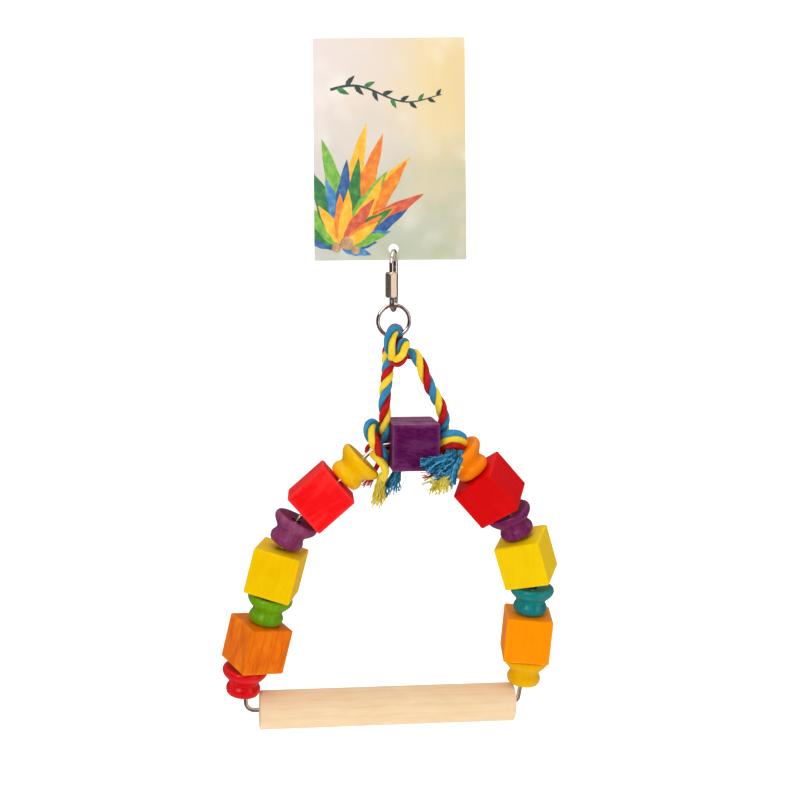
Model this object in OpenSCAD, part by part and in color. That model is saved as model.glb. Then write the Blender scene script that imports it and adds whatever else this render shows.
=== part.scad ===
// Bird swing: a bent wire arch threaded with wooden cubes and turned spools,
// a pine perch between its ends, a twisted cotton rope, a welded ring, a
// quick link and a plain header card. Millimetres, +Z up, the swing lies in
// the X-Z plane, and the origin is the inside of the quick link's top bend.

/* [Wooden beads] */
// Edge length of the drilled cubes
cube_size = 25.8; // [23:0.2:25.8]
// Chamfer on every cube edge
cube_chamfer = 0.8; // [0.3:0.1:1.5]
// Length of the turned spools
spool_len = 16; // [15:0.5:16]
// Diameter of the large flange of a spool
spool_big_d = 25; // [22:0.5:25]
// Diameter of the small flange of a spool
spool_small_d = 19; // [18:0.5:20]
// Diameter of the waist of a spool
spool_waist_d = 16.2; // [14:0.2:16.4]
// Hole drilled through each bead
bead_bore_d = 6; // [5.8:0.1:6.4]

/* [Wire arch and perch] */
// Diameter of the steel wire
wire_d = 2.4; // [2:0.1:2.6]
// Diameter of the perch dowel
perch_d = 21.6; // [18:0.2:22]
// Depth of the blind hole in each perch end
perch_hole_depth = 12; // [9:0.5:16]
// Length of wire inside each perch end
tip_len = 10; // [6:0.5:11]

/* [Quick link and ring] */
// Diameter of the quick link's wire
link_d = 2.5; // [2:0.1:2.6]
// Overall length of the quick link
link_len = 33.1; // [32.5:0.1:33.1]
// Distance between the centres of the quick link's legs
link_pitch = 12.4; // [12:0.1:13]
// Hexagonal nut, across flats
nut_af = 6.2; // [5.6:0.1:6.4]
// Length of the nut
nut_len = 13; // [12.5:0.1:13]
// Outside diameter of the welded ring
ring_od = 18.8; // [18.4:0.1:19.2]
// Diameter of the ring's wire
ring_d = 2; // [1.8:0.1:2]

/* [Rope] */
// Diameter of the twisted cotton rope
rope_d = 6.6; // [6:0.1:6.6]

/* [Header card] */
// Width of the card
card_w = 79.3; // [70:0.1:90]
// Height of the card
card_h = 116; // [100:1:130]
// Thickness of the board
card_t = 0.5; // [0.3:0.1:0.8]
// Diameter of the punched hole
card_hole_d = 5.2; // [5:0.1:6]

/* [Hidden] */
$fn = 40;

// --- the wire's path in the X-Z plane -------------------------------------
// A state is [x, z, heading]; a stretch is [length, radius], where radius 0 is
// straight, a positive one bends to the left and a negative one to the right.
function seg_end(st, sg) = sg[1] == 0
  ? [st[0] + sg[0] * cos(st[2]), st[1] + sg[0] * sin(st[2]), st[2]]
  : let (t = sg[0] / sg[1] * 180 / PI)
    [st[0] + sg[1] * (sin(st[2] + t) - sin(st[2])),
     st[1] - sg[1] * (cos(st[2] + t) - cos(st[2])), st[2] + t];
function states(st, segs, i = 0) = i == len(segs) ? [st]
  : concat([st], states(seg_end(st, segs[i]), segs, i + 1));
function at(st, segs, s, i = 0) = (i == len(segs) - 1 || s <= segs[i][0])
  ? seg_end(st, [s, segs[i][1]])
  : at(seg_end(st, segs[i]), segs, s - segs[i][0], i + 1);
function last_of(v) = v[len(v) - 1];

top_x = 10.2;        // middle of the top stretch, where the purple cube sits
top_z = -102.8;
top_tilt = -1.5;
left_start = [top_x, top_z, 180 + top_tilt];
right_start = [top_x, top_z, 360 + top_tilt];
left_run = [[10.3, 0], [18, 20.6], [24, -95.6], [22, 76.9], [26, 67.1], [24, 199.9], [26, -107.2], [37.8, 82.6]];
right_run = [[11.9, 0], [22, -21.9], [24, 100.5], [22, -61.8], [26, -184.7], [24, -56.7], [26, 301.2], [31.2, -289.1]];
left_hook_r = 5;
right_hook_r = 3;

left_low = last_of(states(left_start, left_run));
right_low = last_of(states(right_start, right_run));
function left_hook(tilt) = [(360 + tilt - left_low[2]) * PI / 180 * left_hook_r, left_hook_r];
function right_hook(tilt) = [(right_low[2] - 180 - tilt) * PI / 180 * right_hook_r, -right_hook_r];
function hook_slope(tilt) =
  let (a = seg_end(left_low, left_hook(tilt)), b = seg_end(right_low, right_hook(tilt)))
  atan2(b[1] - a[1], b[0] - a[0]);
perch_tilt = hook_slope(hook_slope(hook_slope(-2)));
hook_l = seg_end(left_low, left_hook(perch_tilt));
hook_r = seg_end(right_low, right_hook(perch_tilt));
left_neck = 2.6;     // straight wire between the left hook and the perch face
perch_end_gap = 0.3;
perch_len = norm([hook_r[0] - hook_l[0], hook_r[1] - hook_l[1]]) - left_neck - perch_end_gap;
perch_mid = [hook_l[0] + (left_neck + perch_len / 2) * cos(perch_tilt),
             hook_l[1] + (left_neck + perch_len / 2) * sin(perch_tilt)];

// A bead's axis is the chord of the wire inside it, and half of the wire's
// sag is shared to either side of that axis. The bores are wide, so a bead
// can also hang off the wire's middle (off) and a little askew (tilt).
function bead_at(st, run, s, l, off = 0, tilt = 0) =
  let (a = at(st, run, s - l / 2), b = at(st, run, s + l / 2), m = at(st, run, s),
       h = atan2(a[1] - b[1], a[0] - b[0]))
  [(m[0] + (a[0] + b[0]) / 2) / 2 + off * sin(h), (m[1] + (a[1] + b[1]) / 2) / 2 - off * cos(h), h + tilt];
module along(p) { translate([p[0], 0, p[1]]) rotate([0, 90 - p[2], 0]) children(); }

// --- wire drawing ----------------------------------------------------------
module tube_seg(st, sg, r, cut = 0) {
  if (sg[1] == 0) {
    translate([st[0], 0, st[1]]) rotate([0, 90 - st[2], 0]) cylinder(r = r, h = sg[0]);
  } else {
    t = sg[0] / sg[1] * 180 / PI;
    cx = st[0] - sg[1] * sin(st[2]);
    cz = st[1] + sg[1] * cos(st[2]);
    a0 = sg[1] > 0 ? st[2] - 90 : st[2] + 90 + t;
    rotate([90, 0, 0]) translate([cx, cz, 0]) rotate([0, 0, a0])
      rotate_extrude(angle = abs(t), $fn = max(40, ceil(abs(sg[1]) * 3.5)))
        translate([abs(sg[1]), 0]) circle(r = r, $fn = 20);
  }
}
module run_tube(st, run, r) {
  ss = states(st, run);
  for (i = [0 : len(run) - 1]) tube_seg(ss[i], run[i], r);
}
// One tube swept from tip to tip. Rings sit closer together where the wire
// bends tightly, and each ring is square to the wire.
function stations(run, i = 0, s0 = 0) = i == len(run) ? [s0]
  : let (g = run[i],
         n = g[1] == 0 ? max(1, ceil(g[0] / 6)) : ceil(g[0] / min(5, max(0.9, abs(g[1]) * 0.13))))
    concat([for (k = [0 : n - 1]) s0 + g[0] * k / n], stations(run, i + 1, s0 + g[0]));
left_full = concat(left_run, [left_hook(perch_tilt), [left_neck + tip_len, 0]]);
right_full = concat(right_run, [right_hook(perch_tilt), [perch_end_gap + tip_len, 0]]);
function ring_at(p, r, m, flip) = [for (k = [0 : m - 1])
  let (a = 360 * k / m, h = p[2] + (flip ? 180 : 0))
  [p[0] - r * cos(a) * sin(h), r * sin(a), p[1] + r * cos(a) * cos(h)]];
module swept(rings, m) {
  n = len(rings);
  polyhedron(
    points = [for (q = rings) each q],
    faces = concat([[for (k = [0 : m - 1]) k]],
      [for (i = [0 : n - 2], k = [0 : m - 1])
        [i * m + k, (i + 1) * m + k, (i + 1) * m + (k + 1) % m, i * m + (k + 1) % m]],
      [[for (k = [m - 1 : -1 : 0]) (n - 1) * m + k]]));
}
module wire_frame() {
  sl = stations(left_full);
  sr = stations(right_full);
  color("#c9c2bb") swept(concat(
    [for (i = [len(sl) - 1 : -1 : 1]) ring_at(at(left_start, left_full, sl[i]), wire_d / 2 * 1.01, 12, true)],
    [for (i = [0 : len(sr) - 1]) ring_at(at(right_start, right_full, sr[i]), wire_d / 2 * 1.01, 12, false)]), 12);
}

// --- perch -----------------------------------------------------------------
module perch() {
  color("#efd09b") along([perch_mid[0], perch_mid[1], perch_tilt])
    difference() {
      rotate_extrude($fn = 64) polygon([[0, -perch_len / 2], [perch_d / 2 - 0.8, -perch_len / 2],
        [perch_d / 2, -perch_len / 2 + 0.8], [perch_d / 2, perch_len / 2 - 0.8],
        [perch_d / 2 - 0.8, perch_len / 2], [0, perch_len / 2]]);
      for (s = [0, 1]) mirror([0, 0, s]) translate([0, 0, perch_len / 2 - perch_hole_depth])
        cylinder(d = wire_d + 0.16, h = perch_hole_depth + 1);
    }
}

// --- beads -----------------------------------------------------------------
module block_profile(s, c) {
  h = s / 2;
  polygon([[h - c, -h], [h, -h + c], [h, h - c], [h - c, h], [-h + c, h], [-h, h - c], [-h, -h + c], [-h + c, -h]]);
}
module wood_cube(p, spin) {
  along(p) rotate([0, 0, spin]) difference() {
    intersection() {
      linear_extrude(cube_size, center = true) block_profile(cube_size, cube_chamfer);
      rotate([90, 0, 0]) linear_extrude(cube_size, center = true) block_profile(cube_size, cube_chamfer);
      rotate([0, 90, 0]) linear_extrude(cube_size, center = true) block_profile(cube_size, cube_chamfer);
    }
    cylinder(d = bead_bore_d, h = cube_size + 2, center = true);
  }
}
module spool(p) {
  h = spool_len / 2;
  b = spool_big_d / 2;
  s = spool_small_d / 2;
  w = spool_waist_d / 2;
  k = bead_bore_d / 2;
  along(p) rotate_extrude($fn = 48) polygon([
    [k, -h], [s - 1.1, -h], [s - 0.25, h * -0.88], [s, h * -0.7], [s - 0.5, h * -0.52],
    [w + 0.25, h * -0.35], [w, h * -0.2], [w + 0.3, h * -0.06], [w + 1.2, h * 0.12],
    [b - 1.7, h * 0.33], [b - 0.35, h * 0.54], [b, h * 0.7], [b - 0.4, h * 0.88], [b - 1.4, h],
    [b - 2.6, h], [b - 4.6, h * 0.93], [k + 2, h * 0.87], [k, h * 0.86]]);
}
purple_mid = [top_x, top_z, top_tilt];
module cube_purple_middle() { color("#5e1c55") wood_cube(purple_mid, -4.6); }
module cube_red_left() { color("#e8262c") wood_cube(bead_at(left_start, left_run, 59.9, cube_size), -7.7); }
module cube_yellow_left() { color("#efc50f") wood_cube(bead_at(left_start, left_run, 108.9, cube_size), -17); }
module cube_orange_left() { color("#ef7f12") wood_cube(bead_at(left_start, left_run, 152.2, cube_size, 0.3, 6), 26.7); }
module cube_red_right() { color("#d0080c") wood_cube(bead_at(right_start, right_run, 55.6, cube_size), -29.6); }
module cube_yellow_right() { color("#f2d010") wood_cube(bead_at(right_start, right_run, 101.9, cube_size), -27); }
module cube_orange_right() { color("#fb9a10") wood_cube(bead_at(right_start, right_run, 148.6, cube_size), -9.3); }
module spool_yellow_left() { color("#f5c003") spool(bead_at(left_start, left_run, 37.1, spool_len)); }
module spool_purple_left() { color("#7d2268") spool(bead_at(left_start, left_run, 85.4, spool_len)); }
module spool_green_left() { color("#62a012") spool(bead_at(left_start, left_run, 131.1, spool_len)); }
module spool_red_left() { color("#d81826") spool(bead_at(left_start, left_run, 174.5, spool_len, -1.5)); }
module spool_orange_right() { color("#f98b10") spool(bead_at(right_start, right_run, 33.9, spool_len)); }
module spool_purple_right() { color("#712064") spool(bead_at(right_start, right_run, 79.6, spool_len)); }
module spool_teal_right() { color("#108890") spool(bead_at(right_start, right_run, 127.2, spool_len)); }
module spool_yellow_right() { color("#e6b003") spool(bead_at(right_start, right_run, 169.9, spool_len, 1.1)); }

// --- quick link, nut and ring ------------------------------------------------
link_yaw = -18;      // the link hangs nearly edge-on to the swing
link_r = link_d / 2;
bend_r = link_pitch / 2;
link_top = link_r - bend_r;                       // centre of the top bend
link_bot = link_d + link_r + bend_r - link_len;   // centre of the bottom bend
nut_low = -21.9;     // bottom face of the closed nut
gap_low = -21.2;     // the gap that the closed nut covers
gap_high = -18.2;
module half_bend(zc, up) {
  translate([0, 0, zc]) rotate([0, 90, 0]) rotate([0, 0, up ? 90 : -90])
    rotate_extrude(angle = 180, $fn = 48) translate([bend_r, 0]) circle(r = link_r, $fn = 24);
}
module quick_link() {
  color("#d8cfc6") rotate([0, 0, link_yaw]) {
    half_bend(link_top, true);
    half_bend(link_bot, false);
    translate([0, bend_r, link_bot]) cylinder(r = link_r, h = link_top - link_bot, $fn = 24);
    translate([0, -bend_r, link_bot]) cylinder(r = link_r, h = gap_low - link_bot, $fn = 24);
    translate([0, -bend_r, gap_high]) cylinder(r = link_r, h = link_top - gap_high, $fn = 24);
  }
}
module link_nut() {
  color("#cdbfae") rotate([0, 0, link_yaw]) translate([0, -bend_r, nut_low])
    difference() {
      intersection() {
        rotate([0, 0, 30]) cylinder(r = nut_af / sqrt(3), h = nut_len, $fn = 6);
        union() {
          cylinder(r1 = nut_af / 2, r2 = nut_af / sqrt(3) + 0.1, h = 0.8, $fn = 48);
          translate([0, 0, 0.8]) cylinder(r = nut_af / sqrt(3) + 0.1, h = nut_len - 1.6, $fn = 48);
          translate([0, 0, nut_len - 0.8]) cylinder(r2 = nut_af / 2, r1 = nut_af / sqrt(3) + 0.1, h = 0.8, $fn = 48);
        }
      }
      translate([0, 0, -1]) cylinder(r = link_r + 0.06, h = nut_len + 2, $fn = 24);
    }
}
ring_r = (ring_od - ring_d) / 2;                    // centre line radius
bend_low = link_bot - bend_r;                     // wire centre of the link's bottom
ring_z = bend_low + link_r + ring_d / 2 + 0.12 - ring_r;
ring_low = ring_z - ring_r;                         // wire centre of the ring's bottom
module hanging_ring() {
  color("#d8d2cc") translate([0, 0, ring_z]) {
    rotate([90, 0, 0]) rotate_extrude($fn = 72) translate([ring_r, 0]) circle(d = ring_d, $fn = 20);
    rotate([0, 15, 0]) translate([0, 0, ring_r]) sphere(r = ring_d / 2 + 0.28, $fn = 24);
  }
}

// --- rope --------------------------------------------------------------------
rope_r = rope_d / 2;
// the space the ring's curved bottom wire needs as the hitch turns on it
module ring_space() {
  translate([0, 0, ring_low]) rotate([0, 90, 0]) rotate_extrude($fn = 40)
    polygon(concat([[0, -6.6]], [for (x = [-6.6 : 0.6 : 6.61])
      [ring_d / 2 + 0.1 + ring_r - sqrt(ring_r * ring_r - x * x), x]], [[0, 6.6]]));
}
flex_z = -94;        // the rope bends just above the knots, about this line
left_leg_top = [-3.4, -57.5];
left_leg_low = [-7.2, flex_z];
left_leg_dir = atan2(left_leg_low[1] - left_leg_top[1], left_leg_low[0] - left_leg_top[0]);
right_leg_top = [11.2, -54.6, -61];
right_leg_run = [[28, 0], [12.15, -24], [3.3, 0]];
right_leg_low = last_of(states(right_leg_top, right_leg_run));
module rod(a, b, r1, r2) {
  d = b - a;
  translate(a) rotate([0, acos(d[2] / norm(d)), atan2(d[1], d[0])]) cylinder(r1 = r1, r2 = r2, h = norm(d), $fn = 28);
}
module rope_hitch() {
  color("#2f86ae") difference() {
    union() {
      translate([-0.9, 0, ring_low]) rotate([0, 90, 0]) rotate_extrude($fn = 40) translate([ring_d / 2 + 3.2, 0]) circle(r = 3.1, $fn = 28);
      translate([1.9, -1.6, -52.6]) rotate([90, 0, 8]) rotate_extrude($fn = 40) translate([4.2, 0]) circle(r = rope_r, $fn = 28);
      translate([0.9, 1.2, -52]) sphere(r = 5.6, $fn = 36);
      rod([-2.4, 0.6, -51], [left_leg_top[0], 0, left_leg_top[1]], rope_r, rope_r);
      tube_seg(seg_end(right_leg_top, [-7, 0]), [8, 0], rope_r);
    }
    ring_space();
    // square cuts where the two legs begin
    translate([left_leg_top[0], 0, left_leg_top[1]]) rotate([0, 90 - left_leg_dir, 0]) cylinder(r = 5, h = 8);
    translate([right_leg_top[0], 0, right_leg_top[1]]) rotate([0, 90 - right_leg_top[2], 0]) cylinder(r = 5, h = 8);
  }
}
// each leg has a round end on the line where the rope bends
module rope_leg_left() {
  color("#f3cf2c") union() {
    rod([left_leg_top[0], 0, left_leg_top[1]], [left_leg_low[0], 0, left_leg_low[1]], rope_r, rope_r);
    translate([left_leg_low[0], 0, flex_z]) sphere(r = rope_r, $fn = 28);
  }
}
module rope_leg_right() {
  e = right_leg_low;
  color("#c4141a") swept(concat(
    [for (t = stations(right_leg_run)) ring_at(at(right_leg_top, right_leg_run, t), rope_r, 24, false)],
    [for (a = [15 : 15 : 75]) ring_at(seg_end(e, [rope_r * sin(a), 0]), rope_r * cos(a), 24, false)],
    [ring_at(seg_end(e, [rope_r, 0]), 0.2, 24, false)]), 24);
}

knot_z = -104.5;     // height of the loops round the wire
// each knot is [where its two loops sit, radius of a loop, radius of its rope];
// the right one is pulled tighter, between the cube and the spool
left_knot = [[-7.7, -11.9], 5, rope_r];
right_knot = [[26.4, 28.2], 4.6, rope_r - 0.4];
module knot_loops(k) {
  for (x = k[0]) translate([x, 0, knot_z]) rotate([0, 90, 0])
    rotate_extrude($fn = 40) translate([k[1], 0]) circle(r = k[2], $fn = 28);
}
// the bore through a knot follows the bend of the wire inside it
module knot_bore(st, run) {
  tube_seg(seg_end(st, run[0]), run[1], wire_d / 2 + 0.5);
  tube_seg(at(st, run, run[0][0] + run[1][0] - 0.8), [6, run[2][1]], wire_d / 2 + 0.54);
}
module socket(x) {
  translate([x, 0, flex_z]) sphere(r = rope_r + 0.3, $fn = 36);
  translate([x - 8, -9, flex_z - 2.5]) cube([16, 18, 5]);
}
module rope_knot_left() {
  color("#f0c828") difference() {
    knot_loops(left_knot);
    knot_bore(left_start, left_run);
    socket(left_leg_low[0]);
  }
}
module rope_knot_right() {
  color("#2f86ae") difference() {
    knot_loops(right_knot);
    knot_bore(right_start, right_run);
    socket(right_leg_low[0]);
  }
}
module loops_cut(k) {
  for (x = k[0]) translate([x, 0, knot_z]) rotate([0, 90, 0])
    rotate_extrude($fn = 40) translate([k[1] - 3.6, -k[2]]) square([3.6 + k[2], 2 * k[2]]);
}
// the unlaid ends of the rope below each knot, as plain tapered bundles
module rope_tuft_left_front() {
  color("#f0cf3c") difference() {
    union() {
      rod([-6.8, -4.7, -110.6], [-6, -7.8, -124.4], 2.8, 2.5);
      rod([-6, -7.8, -124], [-8.4, -8.2, -136.5], 2.6, 3.9);
    }
    loops_cut(left_knot);
  }
}
module rope_tuft_left_back() {
  color("#2b7fae") difference() {
    union() {
      rod([-6.7, 3.7, -110.6], [-5.6, 3.3, -123.4], 2.7, 2.3);
      rod([-6.6, 3.4, -121.5], [2.6, 2.1, -131.2], 2.5, 4);
    }
    loops_cut(left_knot);
  }
}
module right_front_rods() {
  rod([27.5, -5.6, -107.4], [26.9, -16.4, -112.4], 3, 3);
  rod([27.4, -17, -112.6], [17.6, -21.8, -117.4], 3.1, 3.9);
}
module rope_tuft_right_front() {
  color("#2b7fae") difference() {
    union() { right_front_rods(); }
    loops_cut(right_knot);
  }
}
module rope_tuft_right_low() {
  color("#f0cf3c") difference() {
    rod([26.9, -17.6, -116.8], [23.6, -19.2, -129], 2.8, 3.8);
    right_front_rods();
  }
}

// --- header card ---------------------------------------------------------------
card_lean = -13;     // the card leans back, away from the viewer
card_yaw = -9;
card_skew = -0.5;
hole_up = 5.8;       // hole centre above the card's bottom edge
module header_card() {
  color("#ddd6c4") translate([0, 0, link_r]) rotate([card_lean, 0, card_yaw]) rotate([0, card_skew, 0])
    translate([0, 0, card_hole_d / 2 - link_r - 0.08])
      difference() {
        translate([38 - card_w, -card_t / 2, -hole_up]) cube([card_w, card_t, card_h]);
        rotate([90, 0, 0]) cylinder(d = card_hole_d, h = card_t + 2, center = true);
      }
}

header_card();
quick_link();
link_nut();
hanging_ring();
rope_hitch();
rope_leg_left();
rope_leg_right();
rope_knot_left();
rope_knot_right();
rope_tuft_left_front();
rope_tuft_left_back();
rope_tuft_right_front();
rope_tuft_right_low();
wire_frame();
perch();
cube_purple_middle();
cube_red_left();
cube_yellow_left();
cube_orange_left();
cube_red_right();
cube_yellow_right();
cube_orange_right();
spool_yellow_left();
spool_purple_left();
spool_green_left();
spool_red_left();
spool_orange_right();
spool_purple_right();
spool_teal_right();
spool_yellow_right();
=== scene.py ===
import math

import bpy
import numpy as np
from mathutils import Matrix, Vector
from mathutils.bvhtree import BVHTree


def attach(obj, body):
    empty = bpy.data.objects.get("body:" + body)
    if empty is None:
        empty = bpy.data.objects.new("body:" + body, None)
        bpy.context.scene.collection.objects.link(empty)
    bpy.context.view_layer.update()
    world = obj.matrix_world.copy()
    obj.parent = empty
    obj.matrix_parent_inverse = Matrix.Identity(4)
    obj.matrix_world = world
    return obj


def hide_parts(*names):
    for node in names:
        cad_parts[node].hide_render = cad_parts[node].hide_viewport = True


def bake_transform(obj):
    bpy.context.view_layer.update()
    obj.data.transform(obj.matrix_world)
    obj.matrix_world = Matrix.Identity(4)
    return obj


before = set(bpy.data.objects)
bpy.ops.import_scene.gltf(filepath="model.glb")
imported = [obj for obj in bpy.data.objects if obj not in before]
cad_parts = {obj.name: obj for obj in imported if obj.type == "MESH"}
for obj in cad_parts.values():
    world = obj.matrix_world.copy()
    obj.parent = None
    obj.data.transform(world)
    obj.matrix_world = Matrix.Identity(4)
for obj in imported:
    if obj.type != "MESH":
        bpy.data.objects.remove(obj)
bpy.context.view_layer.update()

scene = bpy.context.scene
MM = 0.001
rad = math.radians

# ----------------------------------------------------------------- camera ---
CAM = np.array((-102.2, -670.3, 78.3))
FWD = np.array((0.1516, 0.9625, -0.2250))
FWD /= np.linalg.norm(FWD)
RIGHT = np.cross(FWD, (0, 0, 1.0))
RIGHT /= np.linalg.norm(RIGHT)
UP = np.cross(RIGHT, FWD)
cam_data = bpy.data.cameras.new("cam")
cam_data.sensor_width = 36
cam_data.lens = 58.5
cam_data.clip_start, cam_data.clip_end = 0.02, 30
cam = bpy.data.objects.new("cam", cam_data)
scene.collection.objects.link(cam)
cam.location = Vector(CAM * MM)
cam.rotation_mode = "QUATERNION"
cam.rotation_quaternion = Vector(FWD).to_track_quat("-Z", "Y")
scene.camera = cam


def at_px(px, py, y):
    """The point, in mm, seen at that place of the 800 x 800 frame, at depth Y = y."""
    d = FWD + (px - 400) / 1300 * RIGHT - (py - 400) / 1300 * UP
    return CAM + (y - CAM[1]) / d[1] * d


# ----------------------------------------------------------- mesh helpers ---
class Build:
    """Collects tubes and patches, in mm, and makes one mesh of them."""

    def __init__(self):
        self.v, self.f, self.uv, self.mi, self.n, self.at = [], [], [], [], 0, []

    def add(self, verts, faces, uvs, mat=0, at=None):
        verts = np.asarray(verts, float)
        self.v.append(verts)
        self.at.append(np.zeros(len(verts)) if at is None else np.asarray(at, float))
        for f in faces:
            self.f.append([i + self.n for i in f])
        self.uv.extend(uvs)
        self.mi.extend([mat] * len(faces))
        self.n += len(verts)

    def make(self, name, mats, smooth=True, matrix=None, sharp=None, attribute=None):
        me = bpy.data.meshes.new(name)
        v = np.concatenate(self.v) * MM
        me.from_pydata(v.tolist(), [], self.f)
        if self.uv:
            layer = me.uv_layers.new(name="UVMap")
            layer.data.foreach_set("uv", np.concatenate([np.asarray(u, np.float32) for u in self.uv]).ravel())
        if attribute:
            a = me.attributes.new(attribute, "FLOAT", "POINT")
            a.data.foreach_set("value", np.concatenate(self.at).astype(np.float32))
        for m in mats:
            me.materials.append(m)
        me.polygons.foreach_set("material_index", self.mi)
        me.polygons.foreach_set("use_smooth", [smooth] * len(me.polygons))
        me.update()
        me.validate()
        ob = bpy.data.objects.new(name, me)
        scene.collection.objects.link(ob)
        if matrix is not None:
            ob.matrix_world = matrix
        if sharp:
            me.set_sharp_from_angle(angle=rad(sharp))
        return ob


def unit(v):
    return v / np.maximum(np.linalg.norm(v, axis=-1, keepdims=True), 1e-12)


def tangents(P):
    return unit(np.gradient(P, axis=0))


def transport(P, first=None):
    """Tangent and two normals at each point, turned as little as possible."""
    T = tangents(P)
    n = np.array(first if first is not None else ((0, -1.0, 0) if abs(T[0][1]) < 0.9 else (1.0, 0, 0)), float)
    N = np.zeros_like(P)
    for i in range(len(P)):
        n = n - T[i] * (n @ T[i])
        n = n / np.linalg.norm(n)
        N[i] = n
    return T, N, np.cross(T, N)


def arc(P):
    return np.concatenate([[0], np.cumsum(np.linalg.norm(np.diff(P, axis=0), axis=1))])


def spline(C, step=0.5):
    """A smooth curve through the control points, evenly sampled."""
    C = np.asarray(C, float)
    k = len(C)
    d = np.maximum(np.linalg.norm(np.diff(C, axis=0), axis=1), 1e-6) ** 0.5
    t = np.concatenate([[0], np.cumsum(d)])
    # natural cubic spline
    h = np.diff(t)
    A = np.eye(k)
    b = np.zeros((k, C.shape[1]))
    for i in range(1, k - 1):
        A[i, i - 1], A[i, i], A[i, i + 1] = h[i - 1], 2 * (h[i - 1] + h[i]), h[i]
        b[i] = 6 * ((C[i + 1] - C[i]) / h[i] - (C[i] - C[i - 1]) / h[i - 1])
    M = np.linalg.solve(A, b)
    x = np.linspace(0, t[-1], 60 * k)
    j = np.clip(np.searchsorted(t, x, side="right") - 1, 0, k - 2)
    u, w = (t[j + 1] - x)[:, None], (x - t[j])[:, None]
    hj = h[j][:, None]
    Q = M[j] * u**3 / (6 * hj) + M[j + 1] * w**3 / (6 * hj) + (C[j] / hj - M[j] * hj / 6) * u + (C[j + 1] / hj - M[j + 1] * hj / 6) * w
    s = arc(Q)
    n = max(4, int(s[-1] / step) + 1)
    e = np.linspace(0, s[-1], n)
    out = np.stack([np.interp(e, s, Q[:, a]) for a in range(C.shape[1])], 1)
    # how far along the controls each sample is, as a control number
    tc = np.interp(np.interp(e, s, x), t, np.arange(k))
    return out, e, tc


def tube(b, P, r, m=12, mat=0, cap=True, N=None, B=None, flat=None, at=None, u0=0.0):
    """Sweeps a round or flattened section along P. r and flat may be arrays; UV is (turn, mm)."""
    P = np.asarray(P, float)
    n = len(P)
    r = np.broadcast_to(np.asarray(r, float), (n,))
    if N is None:
        _, N, B = transport(P)
    ang = 2 * np.pi * np.arange(m) / m
    c, s = np.cos(ang), np.sin(ang)
    rb = r if flat is None else r * np.broadcast_to(np.asarray(flat, float), (n,))
    V = P[:, None, :] + (r[:, None] * c)[:, :, None] * N[:, None, :] + (rb[:, None] * s)[:, :, None] * B[:, None, :]
    V = V.reshape(-1, 3)
    along = arc(P)
    faces, uvs = [], []
    for i in range(n - 1):
        for k in range(m):
            k2 = (k + 1) % m
            faces.append((i * m + k, i * m + k2, (i + 1) * m + k2, (i + 1) * m + k))
            ua, ub = u0 + k / m, u0 + (k + 1) / m
            uvs.append([(ua, along[i]), (ub, along[i]), (ub, along[i + 1]), (ua, along[i + 1])])
    A = np.zeros(len(V)) if at is None else np.ravel(at) if np.ndim(at) == 2 else np.repeat(np.broadcast_to(at, (n,)), m)
    if cap:
        T = tangents(P)
        for end, sign in ((0, -1), (n - 1, 1)):
            base = end * m
            c0 = len(V)
            V = np.vstack([V, P[end] + sign * T[end] * r[end] * 0.35])
            A = np.append(A, A[base])
            for k in range(m):
                k2 = (k + 1) % m
                tri = (base + k2, base + k, c0) if sign < 0 else (base + k, base + k2, c0)
                faces.append(tri)
                uvs.append([(u0 + k / m, along[end])] * 3)
    b.add(V, faces, uvs, mat, A)


def lathe(b, prof, m=64, mat=0, at=None, closed=True):
    """Turns (radius, z) points about Z."""
    prof = np.asarray(prof, float)
    n = len(prof)
    ang = 2 * np.pi * np.arange(m) / m
    V = np.stack([np.outer(prof[:, 0], np.cos(ang)), np.outer(prof[:, 0], np.sin(ang)), np.repeat(prof[:, 1:2], m, 1)], 2).reshape(-1, 3)
    faces, uvs = [], []
    s = np.concatenate([[0], np.cumsum(np.hypot(*np.diff(prof, axis=0).T))])
    for i in range(n if closed else n - 1):
        j = (i + 1) % n
        for k in range(m):
            k2 = (k + 1) % m
            faces.append((i * m + k, i * m + k2, j * m + k2, j * m + k))
            v1 = s[i + 1] if i + 1 < n else s[-1] + 1
            uvs.append([(k / m, s[i]), ((k + 1) / m, s[i]), ((k + 1) / m, v1), (k / m, v1)])
    A = None if at is None else np.repeat(np.asarray(at, float), m)
    b.add(V, faces, uvs, mat, A)


def smooth_profile(pts, step=0.35):
    Q, _, _ = spline([(p[0], p[1]) for p in pts], step)
    return Q


# -------------------------------------------------------------- materials ---
def lin(*c):
    return tuple(((x / 255) / 12.92 if x / 255 <= 0.04045 else ((x / 255 + 0.055) / 1.055) ** 2.4) for x in c) + (1.0,)


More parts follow.
